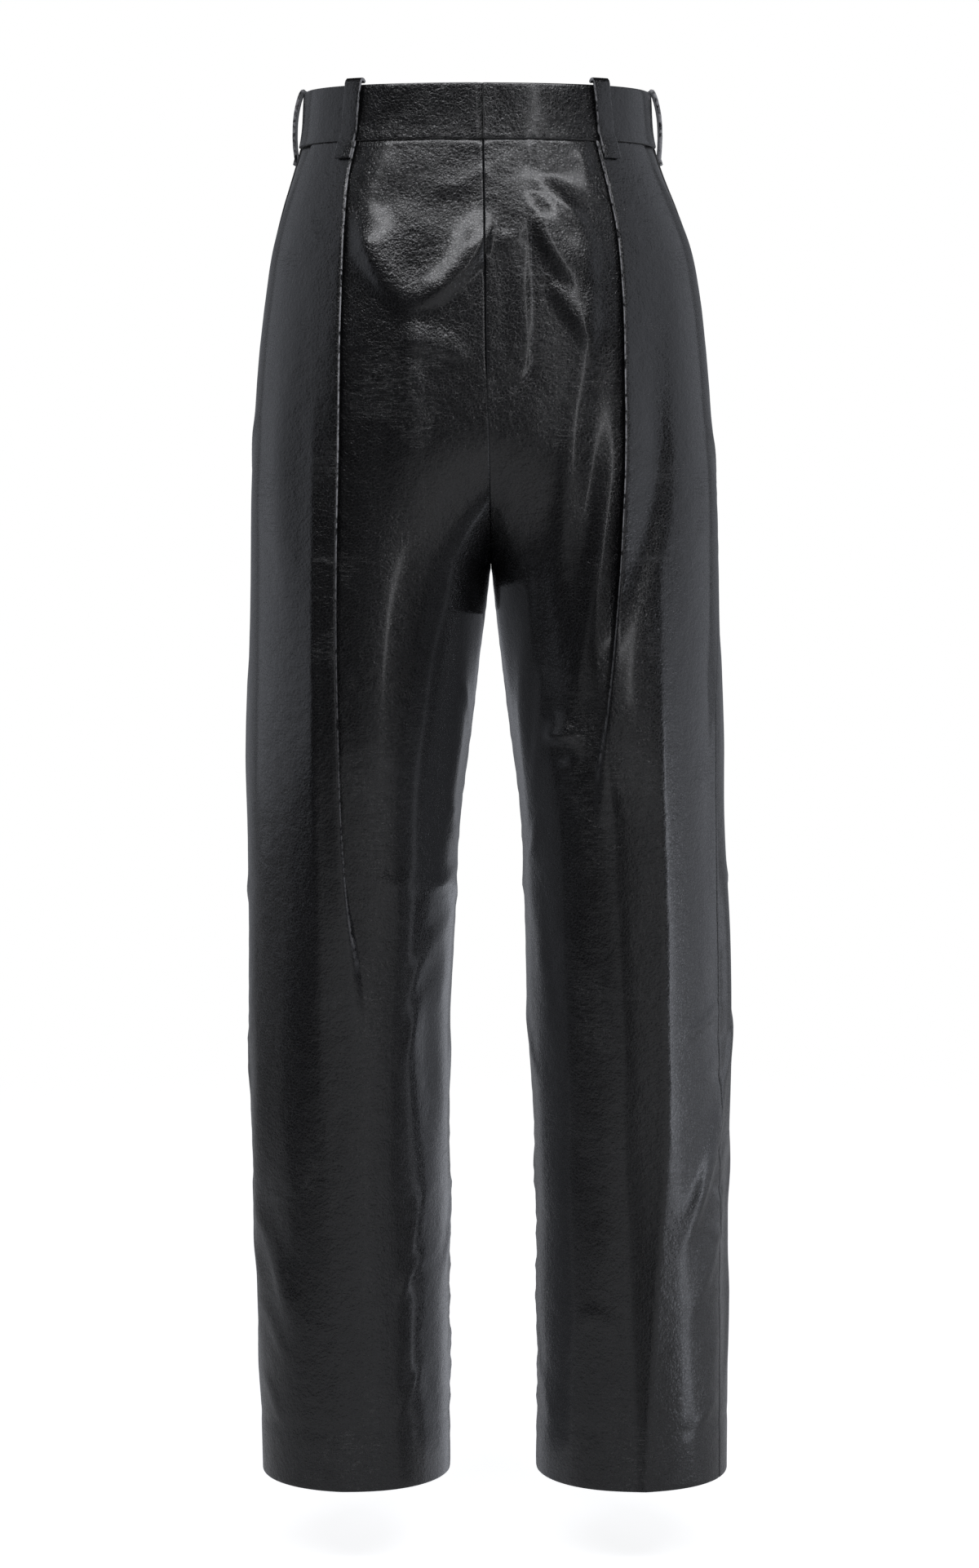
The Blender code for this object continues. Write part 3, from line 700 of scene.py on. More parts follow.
def soft_folds(rows, walked):
    """The largest folds and the pressed crease of one half."""
    side = rows[0].side
    drop = column(row.drop for row in rows)
    raised = 0.0
    for values in FOLDS:
        fold = dict(zip(FOLD_COLUMNS, values))
        if fold["side"] != side:
            continue
        centre = column(
            row.at_share(fold["share"] + fold["slant"] * (row.drop - fold["drop"])) for row in rows
        )
        along = np.clip((drop - fold["drop"]) / (fold["length"] / 2), -1, 1)
        fade = np.cos(math.pi / 2 * along) ** 2
        across = (walked - centre) / fold["spread"]
        raised = raised + fold["height"] * fade * np.exp(-(across**2))
    creases = [smooth_row(CREASE_COLUMNS, CREASES[side], row.drop) for row in rows]
    across = walked - column(row.place_of(c["place"]) for row, c in zip(rows, creases))
    spread = np.where(
        across < 0, column(c["inner"] for c in creases), column(c["outer"] for c in creases),
    )
    return raised + column(c["height"] for c in creases) * np.exp(-np.abs(across) / spread)


def relief(rows, walked, x, y, normal_y):
    """How far the leather of one half stands out from its outline at these places.

    The strokes are seen from the front, the back and the outer side, and each view's
    strokes fade where the leather turns away from it.
    """
    side = rows[0].side
    drop = column(row.drop for row in rows)
    length = column(row.length for row in rows)
    inseam = np.minimum(walked, length - walked)
    raised = soft_folds(rows, walked) * ease(inseam / RELIEF_FADE)
    warp_x = x + FRONT_WARP * unevenness(y, x, drop)
    warp_drop = drop + FRONT_WARP * unevenness(x, y, drop)
    facing_front = ease((TURNED_AWAY - normal_y) / TURN_BLEND)
    facing_back = ease((TURNED_AWAY + normal_y) / TURN_BLEND)
    outside = (1 - facing_front * facing_back) * (walked < OUTSIDE_END * length)
    for strokes, seen, facing in (
        (FRONT_STROKES, warp_x, facing_front),
        (BACK_STROKES, warp_x, facing_back),
        (OUTSIDE_STROKES[side], y, outside),
    ):
        for row in strokes:
            raised = raised + facing * stroke(seen, warp_drop, row)
    raised = raised + UNEVEN * unevenness(x, y, drop)
    legs = ease((drop - CROTCH_DROP) / LEGS_OVER)
    lower = ease((drop - LOWER_FROM) / LOWER_OVER) * ease((LOWER_TO - drop) / LOWER_FADE)
    beside = np.abs(walked - column(row.side_seam() for row in rows))
    for seam, share, near, along in (
        ("inseam", legs, inseam, drop),
        ("rise", 1 - legs, inseam, drop),
        ("side", 1, beside, drop + SIDE_PUCKER_SHIFT),
        ("waist", 1, np.abs(drop - BAND_HEIGHT), x),
    ):
        gather = dict(zip(PUCKER_COLUMNS, PUCKERS[seam]))
        height = gather["height"] * share + gather["lower"] * lower
        raised = raised + height * pucker(near, along, gather["reach"], gather["pitch"])
    hem_seam = (drop - OUTSEAM + HEM_TURN_UP) / HEM_SEAM_REACH
    raised = raised - HEM_SEAM * np.exp(-(hem_seam**2))
    raised = raised - BAND_LEAN * facing_front * np.maximum(1 - drop / BAND_HEIGHT, 0)
    shut = column(row.closed for row in rows)
    return raised * (1 - shut * np.exp(-((inseam / CLOSE_REACH) ** 2)))


def stitch_line():
    """The fly's stitch line as a dense path, x and drop in metres."""
    corners = np.array(FLY_STITCH) * MM
    steps = np.hypot(*np.diff(corners, axis=0).T)
    walked = np.concatenate([[0], np.cumsum(steps)])
    slopes = np.gradient(corners, walked, axis=0)
    path = []
    for k, step in enumerate(steps):
        for t in np.linspace(0, 1, STITCH_LINE_STEPS, endpoint=False):
            path.append(on_curve(corners, slopes, k, step, t))
    path.append(corners[-1])
    return np.array(path)


def from_stitch_line(x, drop):
    """The distance of each place from the fly's stitch line."""
    nearest = np.full(np.broadcast(x, drop).shape, FAR_AWAY)
    for line_x, line_drop in stitch_line()[::STITCH_LINE_SKIP]:
        nearest = np.minimum(nearest, np.hypot(x - line_x, drop - line_drop))
    return nearest


def surface(side, drops, walked, out=0.0, turned=0.0):
    """Places on one half's leather and their outward directions.

    drops has one value for each row and walked one for each row and column. out is the
    distance beyond the leather's face, and turned how far a pleat turns the leather.
    """
    walked = np.asarray(walked, dtype=float)
    out = np.broadcast_to(out, walked.shape)
    turned = np.broadcast_to(turned, walked.shape)
    rows = [outline(side, float(drop)) for drop in drops]
    x, y, tx, ty = (
        np.stack(part) for part in zip(*(row.read(w) for row, w in zip(rows, walked)))
    )
    mid = column(row.mid for row in rows)
    drop = column(drops)
    sign = rows[0].sign
    nx, ny = ty, -tx
    raised = relief(rows, walked, mid + sign * x, y, ny)
    if side == "left":
        in_fly = ease((FLY_END_DROP + FLY_END_BELOW - drop) / FLY_END_FADE)
        raised = raised + FLY_EDGE_RISE * in_fly * np.exp(-walked / FLY_EDGE_REACH)
        in_reach = (walked < STITCH_TROUGH_WIDTH) & (drop < STITCH_TROUGH_DROP)
        near = np.where(in_reach, from_stitch_line(mid + sign * x, drop), FAR_AWAY)
        raised = raised - STITCH_TROUGH * np.exp(-((near / STITCH_TROUGH_REACH) ** 2))
    out = out + raised
    place = np.stack([mid + sign * (x + out * nx), y + out * ny, -drop + 0 * x], axis=-1)
    facing_x = np.cos(turned) * nx - np.sin(turned) * tx
    facing_y = np.cos(turned) * ny - np.sin(turned) * ty
    facing = np.stack([sign * facing_x, facing_y, 0 * x], axis=-1)
    return place, facing


# Rows and columns of each panel


def pleat_path(row_outline):
    """walked, out and turned at each point of the pleat, from the centre front out."""
    row = smooth_row(PLEAT_COLUMNS, PLEATS[row_outline.side], row_outline.drop)
    turn = max(math.radians(min(row["turn"], 180.0)), LEAST_TURN)
    under, visible = UNDER_TURN / turn, VISIBLE_TURN / turn
    steps = np.linspace(0, turn, TURN_COLUMNS)
    path = [(under * math.sin(a), under * (1 - math.cos(a)), a) for a in steps]
    x = path[-1][0] + row["tuck"] * math.cos(turn)
    y = path[-1][1] + row["tuck"] * math.sin(turn)
    for a in steps[::-1]:
        dx = visible * (math.sin(turn) - math.sin(a))
        dy = visible * (math.cos(a) - math.cos(turn))
        path.append((x + dx, y + dy, a))
    rise = path[-1][1]
    edge = min(x for x, _, _ in path[TURN_COLUMNS:])
    start = row_outline.place_of(row["place"]) - edge
    return np.array([(start + x, y - PLEAT_SINK * rise, a) for x, y, a in path])


def spaced(start, end, count, crowd_start=CROWDING, crowd_end=CROWDING):
    """Places from start to end, closer together towards the ends that are crowded."""
    even = np.linspace(0, 1, count)
    bent = even - crowd_start * (1 - even) ** 3 * even
    bent = bent + crowd_end * even**3 * (1 - even)
    return start + (end - start) * bent


def pocket_mouth(row_outline):
    """How far the front reaches at this height: to the pocket's mouth or the side seam."""
    seam = row_outline.side_seam()
    if row_outline.drop >= POCKET_DROP:
        return seam
    back = POCKET_SET_BACK * (POCKET_DROP - row_outline.drop) / (POCKET_DROP - BAND_HEIGHT)
    return seam - back


def rolled(near):
    """How far a panel's edge rolls inwards, by its distance from the seam."""
    return -SEAM_ROLL * np.exp(-((near / SEAM_ROLL_REACH) ** 2))


def run_out(past):
    """What is left of a pleat's rise this far past its fold, steepest beside the fold."""
    return np.clip(1 - past / PLEAT_RUN_OUT, 0, 1) ** 2


def front_columns(row_outline):
    """walked, out and turned along one row of a front."""
    pleat = pleat_path(row_outline)
    first, last = pleat[0], pleat[-1]
    start = SEAM_GAP / 2 * (1 - row_outline.closed)
    end = pocket_mouth(row_outline) - SEWN_GAP / 2
    centre = spaced(start, first[0], CENTRE_COLUMNS + 1, crowd_end=0.0)[:-1]
    near = ease(1 - (first[0] - centre) / PLEAT_RUN_IN)
    roll = rolled(centre - start) * (1 - row_outline.closed)
    inner = np.stack([centre, first[1] * near + roll, 0 * centre], axis=1)
    top = spaced(last[0], end, TOP_COLUMNS + 1, crowd_start=0.0)[1:]
    near = run_out(top - last[0])
    outer = np.stack([top, last[1] * near + rolled(end - top), 0 * top], axis=1)
    return np.concatenate([inner, pleat, outer])


def back_columns(row_outline):
    start = row_outline.side_seam() + SEWN_GAP / 2
    end = row_outline.length - SEWN_GAP / 2 * (1 - row_outline.closed)
    walked = spaced(start, end, BACK_COLUMNS)
    out = rolled(walked - start) + rolled(end - walked) * (1 - row_outline.closed)
    return np.stack([walked, out, 0 * walked], axis=1)


def facing_columns(row_outline):
    start = pocket_mouth(row_outline) - FACING_UNDER
    end = row_outline.side_seam() - SEWN_GAP / 2
    walked = np.linspace(start, end, FACING_COLUMNS)
    return np.stack([walked, np.full(FACING_COLUMNS, -LAYER_DEPTH), 0 * walked], axis=1)


def panel_rows():
    """The drop of each row of a panel and how far that row lies inside the outer face."""
    top = BAND_HEIGHT + SEAM_GAP
    rows = [(top + below, inside) for below, inside in TOP_EDGE]
    start, end = top + TOP_EDGE_END, OUTSEAM - HEM_RADIUS
    count = round((end - start) / ROW_STEP)
    rows += [(drop, 0.0) for drop in np.linspace(start, end, count)]
    for angle in np.radians(HEM_ANGLES):
        rows.append((end + HEM_RADIUS * math.sin(angle), HEM_RADIUS * (1 - math.cos(angle))))
    rise = np.linspace(end, OUTSEAM - HEM_TURN_UP, HEM_ROWS)[1:]
    rows += [(drop, 2 * HEM_RADIUS) for drop in rise]
    return rows


# Meshes


def add_object(name, mesh, materials):
    """A new object in the scene, from a finished bmesh."""
    data = bpy.data.meshes.new(name)
    mesh.to_mesh(data)
    mesh.free()
    for material in materials:
        data.materials.append(material)
    thing = bpy.data.objects.new(name, data)
    bpy.context.scene.collection.objects.link(thing)
    return thing


def sheet_mesh(name, places, flat, flip, materials, wear_and_highlight=None):
    """A sheet whose grid of points is moved to the given places, with a flat map in metres."""
    rows, columns = places.shape[:2]
    mesh = bmesh.new()
    bmesh.ops.create_grid(mesh, x_segments=columns - 1, y_segments=rows - 1, size=1)
    if flip:
        bmesh.ops.reverse_faces(mesh, faces=mesh.faces)
    piece = add_object(name, mesh, materials)
    data = piece.data
    start = np.empty(len(data.vertices) * 3)
    data.vertices.foreach_get("co", start)
    start = start.reshape(-1, 3)
    across = np.rint((start[:, 0] + 1) / 2 * (columns - 1)).astype(int)
    down = rows - 1 - np.rint((start[:, 1] + 1) / 2 * (rows - 1)).astype(int)
    data.vertices.foreach_set("co", places[down, across].ravel())
    corner = np.empty(len(data.loops), dtype=np.int32)
    data.loops.foreach_get("vertex_index", corner)
    layer = data.uv_layers.new(name="cut")
    layer.data.foreach_set("uv", flat[down, across][corner].ravel())
    # A pale mark painted along the pleats' folds as a highlight, and along the loops' edges as
    # part wear, part highlight
    if wear_and_highlight is not None:
        rubbed_and_sheen = data.attributes.new("worn edge", "FLOAT", "POINT")
        rubbed_and_sheen.data.foreach_set("value", wear_and_highlight[down, across].astype(np.float32))
    data.shade_smooth()
    data.update()
    return piece


def thicken(piece, wall, offset=-1.0, edge=0.0):
    """Gives a sheet its thickness, and rounds its rims by edge."""
    solid = piece.modifiers.new("leather", "SOLIDIFY")
    solid.thickness = wall
    solid.offset = offset
    solid.use_even_offset = False
    if len(piece.data.materials) > 1:
        solid.material_offset = 1
        solid.material_offset_rim = 1
    if edge:
        rim = piece.modifiers.new("rim", "BEVEL")
        rim.width = edge
        rim.segments = 2
        rim.profile = 0.5
        rim.limit_method = "ANGLE"
        rim.angle_limit = RIM_ANGLE
        rim.material = -1
    return piece


def flat_map(places):
    """Where each point lay on the flat leather: distances along and down it."""
    steps = np.linalg.norm(np.diff(places, axis=1), axis=2)
    along = np.concatenate([np.zeros((len(places), 1)), np.cumsum(steps, axis=1)], axis=1)
    down = np.linalg.norm(np.diff(places, axis=0), axis=2).mean(axis=1)
    height = -np.concatenate([[0], np.cumsum(down)])
    return np.stack([along, height[:, None] + 0 * along], axis=-1)


def fold_highlight(turned, drops):
    """A painted highlight along a pleat's visible fold: only where it turns, less further down."""
    drop = column(drops)
    visible = np.arange(turned.shape[1]) >= CENTRE_COLUMNS + TURN_COLUMNS
    bend = np.exp(-(((turned - FOLD_HIGHLIGHT_TURN) / FOLD_HIGHLIGHT_SPREAD) ** 2)) * visible
    return bend * (FOLD_HIGHLIGHT_LEAST + (1 - FOLD_HIGHLIGHT_LEAST) * ease((FOLD_HIGHLIGHT_END - drop) / FOLD_HIGHLIGHT_FADE))


def panel(name, side, columns_of, rows, materials):
    drops = [float(drop) for drop, _ in rows]
    inside = np.array([depth for _, depth in rows])[:, None]
    columns = np.array([columns_of(outline(side, drop)) for drop in drops])
    walked, out, turned = (columns[..., k] for k in range(3))
    places, facing = surface(side, drops, walked, out, turned)
    places = places - facing * inside[..., None]
    # The fronts carry a painted highlight along their pleats' folds, the other panels none
    wear_and_highlight = fold_highlight(turned, drops) if columns_of is front_columns else 0 * turned
    flat = flat_map(places)
    piece = sheet_mesh(name, places, flat, side == "right", materials, wear_and_highlight)
    return thicken(piece, LEATHER)


def on_each_row(drops, start, end, count):
    """The same evenly spaced places on every row."""
    return np.tile(np.linspace(start, end, count), (len(drops), 1))


def fly_shield(materials):
    drops = list(np.linspace(BAND_HEIGHT + SEAM_GAP, SHIELD_DROP, SHIELD_ROWS))
    under = on_each_row(drops, SHIELD_UNDER, SEAM_GAP, SHIELD_UNDER_COLUMNS)
    over = on_each_row(drops, 0.0, SHIELD_OVER, SHIELD_OVER_COLUMNS)
    right, _ = surface("right", drops, under, -LAYER_DEPTH)
    left, _ = surface("left", drops, over, -LAYER_DEPTH)
    places = np.concatenate([right, left], axis=1)
    piece = sheet_mesh("fly_shield_leather", places, flat_map(places), False, materials)
    return thicken(piece, LEATHER)


def waistband(side, materials):
    drops = list(np.linspace(0.0, BAND_HEIGHT, BAND_ROWS))
    start = SEAM_GAP / 2 if side == "left" else BAND_DIP
    walked = [
        spaced(start, outline(side, drop).length - SEWN_GAP / 2, BAND_COLUMNS)
        for drop in drops
    ]
    places, _ = surface(side, drops, walked, BAND_PROUD)
    if side == "right":
        behind = BAND_PROUD - BAND_WALL - LAYER_GAP
        under = on_each_row(drops, BAND_UNDERLAP, 0.0, UNDERLAP_COLUMNS)
        tab, _ = surface("left", drops, under, behind)
        places = np.concatenate([tab, places], axis=1)
    name = f"waistband_leather_{side}"
    piece = sheet_mesh(name, places, flat_map(places), side == "right", materials)
    return thicken(piece, BAND_WALL, edge=BAND_EDGE)


def top_layer(row_outline, walked):
    """How far out the front's outermost layer lies at this place."""
    pleat = pleat_path(row_outline)
    edge = min(pleat[TURN_COLUMNS:, 0])
    if walked < edge:
        return 0.0
    return float(pleat[-1][1] * run_out(max(walked - pleat[-1][0], 0.0)))


def on_surface(side, drop, walked, out):
    place, facing = surface(side, [drop], [[walked]], out)
    return place[0, 0], facing[0, 0]


def belt_loop(place_name, side, share, form, materials):
    top = outline(side, 0.0)
    anchor, facing = on_surface(side, 0.0, share * top.length, BAND_PROUD)
    along = np.array((-facing[1], facing[0], 0.0))
    lean = 0.0 if share == 1 else LOOP_LEAN * (1 if side == "left" else -1)
    path = list(LOOP_PATHS[form])
    for up in LOOP_ENDS[form]:
        lower = outline(side, -up)
        reach = []
        for aside in (-LOOP_REACH, 0.0, LOOP_REACH):
            walked = min(share * lower.length + aside, lower.length)
            place, _ = on_surface(side, -up, walked, top_layer(lower, walked))
            reach.append((place - anchor) @ facing)
        path.append((max(reach) + SEAM_GAP + LOOP_WALL * LOOP_CLEAR, up))
    across = np.array(LOOP_ACROSS) * LOOP_WIDTH
    outwards = math.tan(LOOP_TWIST) * (form == "standing") * (share < 1)
    rows = []
    for out, up in path:
        middle = anchor + facing * out + along * lean * up / LOOP_ENDS[form][-1]
        bulge = facing * (LOOP_BULGE * (1 - (2 * across / LOOP_WIDTH)[:, None] ** 2))
        free = ease(-up / LOOP_FREE_FROM) * ease((up + BAND_HEIGHT) / LOOP_FREE_TO)
        turn = outwards * free * across * (-1 if side == "left" else 1)
        bulge = bulge + facing * turn[:, None]
        row = middle + along * across[:, None] + bulge
        row[:, 2] = up
        rows.append(row)
    places = np.array(rows)
    name = f"belt_loop_leather_{place_name}"
    # Both edges of the strip painted paler: part worn edge, part painted highlight
    rubbed_and_sheen = np.zeros(places.shape[:2])
    rubbed_and_sheen[:, (0, -1)] = LOOP_EDGE_WEAR_AND_HIGHLIGHT
    piece = sheet_mesh(name, places, flat_map(places), False, materials, rubbed_and_sheen)
    return thicken(piece, LOOP_WALL, offset=0.0, edge=LOOP_EDGE)


def add_stitch(mesh, start, end, facing):
    """One stitch: a slim bead from start to end, half sunk into the leather."""
    along = (end - start).normalized()
    side = facing.cross(along).normalized()
    turn = Matrix((along, side, facing)).transposed().to_4x4()
    size = Matrix.Diagonal((STITCH_LENGTH / 2, STITCH_RADIUS, STITCH_RADIUS, 1))
    place = Matrix.Translation((start + end) / 2) @ turn @ size
    bmesh.ops.create_uvsphere(mesh, u_segments=8, v_segments=6, radius=1, matrix=place)


def fly_stitching(material):
    line = stitch_line()
    walked = np.concatenate([[0], np.cumsum(np.hypot(*np.diff(line, axis=0).T))])
    mesh = bmesh.new()
    for start in np.arange(0.0, walked[-1] - STITCH_LENGTH, STITCH_PITCH):
        ends = []
        for reach in (start, start + STITCH_LENGTH):
            x, drop = (np.interp(reach, walked, line[:, k]) for k in (0, 1))
            row = outline("left", float(drop))
            across = row.place_of(x - row.mid)
            place, facing = on_surface("left", float(drop), across, STITCH_PROUD)
            ends.append(Vector(place))
        add_stitch(mesh, *ends, Vector(facing))
    piece = add_object("fly_stitching", mesh, (material,))
    piece.data.shade_smooth()
    return piece


# Materials

# Grain: pebbles to a metre, their depth in metres and how far noise bends them. A
# pebble rises over DOME_EDGE of its cell.
PEBBLES = 430.0
PEBBLE_DEPTH = 0.00010
PEBBLE_BEND = 0.0016
BEND_SCALE = 260.0
DOME_EDGE = 0.32
DOME_POWER = 0.55
ROUGH_SCALE = 400.0
ROUGH_HEIGHT = 4.0

# Fine wrinkle lines, and the patches that they come in
LINE_SCALE = (55.0, 420.0, 1.0)
LINE_BEND = 0.6
LINE_WIDTH = 0.045
LINE_DEPTH = 0.00016
PATCH_SCALE = 13.0
PATCH_RANGE = (0.54, 0.68)

# Dents, handling, and the pale beaded mark painted on the pleats' folds as a highlight and on the
# loops' edges as part wear, part highlight
DENT_SCALE = 85.0
DENT_DEPTH = 0.0010
RUBBED_SCALE = 9.0
RUBBED_RANGE = (0.32, 0.68)
RUBBED_ROUGHNESS = (0.25, 0.20)
GROOVE_ROUGHNESS = 0.10
MOTTLE_SCALE = 70.0
MOTTLE_RANGE = (0.35, 0.65)
BEAD_SCALE = 260.0
BEAD_RANGE = (0.34, 0.54)
BLACK_SHADES = ((0.0038, 0.0038, 0.0043, 1.0), (0.0056, 0.0056, 0.0063, 1.0))
# The pale grey painted as a highlight on the pleats' folds and, part wear, on the loops' edges
HIGHLIGHT_AND_WEAR_SHADE = (0.55, 0.55, 0.57, 1.0)

# Flesh side and thread
FUZZ_SCALE = 1400.0
FUZZ_DEPTH = 0.00010
BLOTCH_SCALE = 45.0
FLESH_SHADES = ((0.030, 0.029, 0.029, 1.0), (0.052, 0.050, 0.049, 1.0))
TWIST_SCALE = 900.0
TWIST_BEND = 1.5
TWIST_DEPTH = 0.00004
THREAD_SHADES = ((0.060, 0.060, 0.064, 1.0), (0.150, 0.150, 0.158, 1.0))


class Nodes:
    """Adds shader nodes to one tree."""

    def __init__(self, tree):
        self.tree = tree

    def set(self, node, inputs):
        """Gives each named input its value, or links it where the value is a socket."""
        for name, value in dict(inputs).items():
            socket = node.inputs[name]
            if isinstance(value, bpy.types.NodeSocket):
                self.tree.links.new(value, socket)
            else:
                socket.default_value = value
        return node

    def add(self, kind, inputs=(), **settings):
        node = self.tree.nodes.new(kind)
        for name, value in settings.items():
            setattr(node, name, value)
        return self.set(node, inputs)

    def place(self):
        """The place on the object in metres."""
        return self.add("ShaderNodeTexCoord").outputs["Object"]

    def math(self, operation, *values, clamp=False):
        node = self.add("ShaderNodeMath", enumerate(values), operation=operation)
        node.use_clamp = clamp
        return node.outputs[0]

    def vector_math(self, operation, *values, **named):
        inputs = {**dict(enumerate(values)), **named}
        return self.add("ShaderNodeVectorMath", inputs, operation=operation).outputs

    def range(self, value, low, high, to_low=0.0, to_high=1.0):
        inputs = {
            "Value": value, "From Min": low, "From Max": high,
            "To Min": to_low, "To Max": to_high,
        }
        return self.add("ShaderNodeMapRange", inputs).outputs["Result"]

    def noise(self, place, scale, detail, distortion=0.0, dimensions="3D"):
        inputs = {"Vector": place, "Scale": scale, "Detail": detail, "Distortion": distortion}
        return self.add("ShaderNodeTexNoise", inputs, noise_dimensions=dimensions).outputs

    def mix(self, factor, first, second):
        """A colour between the first and the second."""
        inputs = {"Factor": factor, "A": first, "B": second}
        return self.add("ShaderNodeMix", inputs, data_type="RGBA").outputs["Result"]

    def bump(self, height, strength=1.0):
        """The normal of a surface raised by height, in metres."""
        inputs = {"Height": height, "Distance": 1.0, "Strength": strength}
        return self.add("ShaderNodeBump", inputs).outputs["Normal"]

    def shader_mix(self, factor, first, second):
        return self.add("ShaderNodeMixShader", {0: factor, 1: first, 2: second}).outputs[0]

    def seen_by_camera(self):
        return self.add("ShaderNodeLightPath").outputs["Is Camera Ray"]


def node_group(name, inputs, outputs):
    """An empty shader group with named sockets, and its input and output nodes."""
    group = bpy.data.node_groups.new(name, "ShaderNodeTree")
    for socket, kind in inputs:
        group.interface.new_socket(socket, in_out="INPUT", socket_type=kind)
    for socket, kind in outputs:
        group.interface.new_socket(socket, in_out="OUTPUT", socket_type=kind)
    nodes = Nodes(group)
    return group, nodes, nodes.add("NodeGroupInput").outputs, nodes.add("NodeGroupOutput")


def pebble_grain():
    """Rounded pebbles parted by fine lines, as heights in metres."""
    group, nodes, given, made = node_group(
        "pebble grain",
        [("Place", "NodeSocketVector"), ("Pebbles", "NodeSocketFloat"),
         ("Depth", "NodeSocketFloat")],
        [("Height", "NodeSocketFloat"), ("Lines", "NodeSocketFloat")],
    )
    bend = nodes.noise(given["Place"], BEND_SCALE, 2.0)["Color"]
    shift = nodes.vector_math("SUBTRACT", bend, (0.5, 0.5, 0.5))[0]
    small = nodes.vector_math("SCALE", shift, Scale=PEBBLE_BEND)[0]
    place = nodes.vector_math("ADD", given["Place"], small)[0]
    cells = nodes.add("ShaderNodeTexVoronoi", {
        "Vector": place, "Scale": given["Pebbles"],
    }, feature="DISTANCE_TO_EDGE")
    dome = nodes.range(cells.outputs["Distance"], 0.0, DOME_EDGE)
    dome = nodes.math("POWER", dome, DOME_POWER)
    finer = nodes.noise(given["Place"], ROUGH_SCALE, 1.0)["Fac"]
    rough = nodes.math("MULTIPLY", finer, ROUGH_HEIGHT)
    height = nodes.math("ADD", dome, rough)
    height = nodes.math("MULTIPLY", height, given["Depth"])
    lines = nodes.math("SUBTRACT", 1.0, dome, clamp=True)
    nodes.set(made, {"Height": height, "Lines": lines})
    return group


def broken_lines():
    """Short fine wrinkles that run across the leather, in patches, as heights in metres."""
    group, nodes, given, made = node_group(
        "broken lines",
        [("Cut", "NodeSocketVector"), ("Depth", "NodeSocketFloat")],
        [("Height", "NodeSocketFloat"), ("Patches", "NodeSocketFloat")],
    )
    stretched = nodes.add("ShaderNodeMapping", {"Vector": given["Cut"], "Scale": LINE_SCALE})
    ridges = nodes.noise(stretched.outputs[0], 1.0, 3.0, LINE_BEND, dimensions="2D")["Fac"]
    middle = nodes.math("SUBTRACT", ridges, 0.5)
    line = nodes.range(nodes.math("ABSOLUTE", middle), 0.0, LINE_WIDTH, 1.0, 0.0)
    patch = nodes.noise(given["Cut"], PATCH_SCALE, 2.0, dimensions="2D")["Fac"]
    patches = nodes.range(patch, *PATCH_RANGE)
    height = nodes.math("MULTIPLY", nodes.math("MULTIPLY", line, patches), given["Depth"])
    nodes.set(made, {"Height": nodes.math("MULTIPLY", height, -1.0), "Patches": patches})
    return group


def handling():
    """Slow changes in how much rubbing the leather has had."""
    group, nodes, given, made = node_group(
        "handling",
        [("Place", "NodeSocketVector")],
        [("Rubbed", "NodeSocketFloat"), ("Mottle", "NodeSocketFloat")],
    )
    slow = nodes.noise(given["Place"], RUBBED_SCALE, 3.0)["Fac"]
    fast = nodes.noise(given["Place"], MOTTLE_SCALE, 4.0)["Fac"]
    nodes.set(made, {
        "Rubbed": nodes.range(slow, *RUBBED_RANGE), "Mottle": nodes.range(fast, *MOTTLE_RANGE),
    })
    return group


def new_material(name):
    material = bpy.data.materials.new(name)
    material.use_nodes = True
    nodes = Nodes(material.node_tree)
    return material, nodes, material.node_tree.nodes["Principled BSDF"]


def black_leather():
    material, nodes, shader = new_material("black leather")
    coordinates = nodes.add("ShaderNodeTexCoord").outputs
    place = coordinates["Object"]
    grain = nodes.add("ShaderNodeGroup", {
        "Place": place, "Pebbles": PEBBLES, "Depth": PEBBLE_DEPTH,
    }, node_tree=pebble_grain()).outputs
    wrinkles = nodes.add("ShaderNodeGroup", {
        "Cut": coordinates["UV"], "Depth": LINE_DEPTH,
    }, node_tree=broken_lines()).outputs
    rubbed_and_sheen = nodes.add("ShaderNodeGroup", {"Place": place}, node_tree=handling()).outputs
    dents = nodes.noise(place, DENT_SCALE, 3.0)["Fac"]
    height = nodes.math("ADD", grain["Height"], wrinkles["Height"])
    height = nodes.math("ADD", height, nodes.math("MULTIPLY", dents, DENT_DEPTH))
    normal = nodes.bump(height)
    shade = nodes.mix(rubbed_and_sheen["Mottle"], *BLACK_SHADES)
    # A pale grey painted on as a highlight along the pleats' folds and, part wear, along the
    # loops' edges, broken into beads
    wear_and_highlight = nodes.add("ShaderNodeAttribute", attribute_name="worn edge").outputs["Fac"]
    beads = nodes.noise(place, BEAD_SCALE, 1.0)["Fac"]
    wear_and_highlight = nodes.math("MULTIPLY", wear_and_highlight, nodes.range(beads, *BEAD_RANGE))
    shade = nodes.mix(wear_and_highlight, shade, HIGHLIGHT_AND_WEAR_SHADE)
    rough = nodes.range(rubbed_and_sheen["Rubbed"], 0.0, 1.0, *RUBBED_ROUGHNESS)
    rough = nodes.math("ADD", rough, nodes.math("MULTIPLY", grain["Lines"], GROOVE_ROUGHNESS))
    nodes.set(shader, {
        "Base Color": shade, "Roughness": rough, "Normal": normal,
        "IOR": 1.5, "Coat Weight": 0.4, "Coat Roughness": 0.16,
    })
    return material


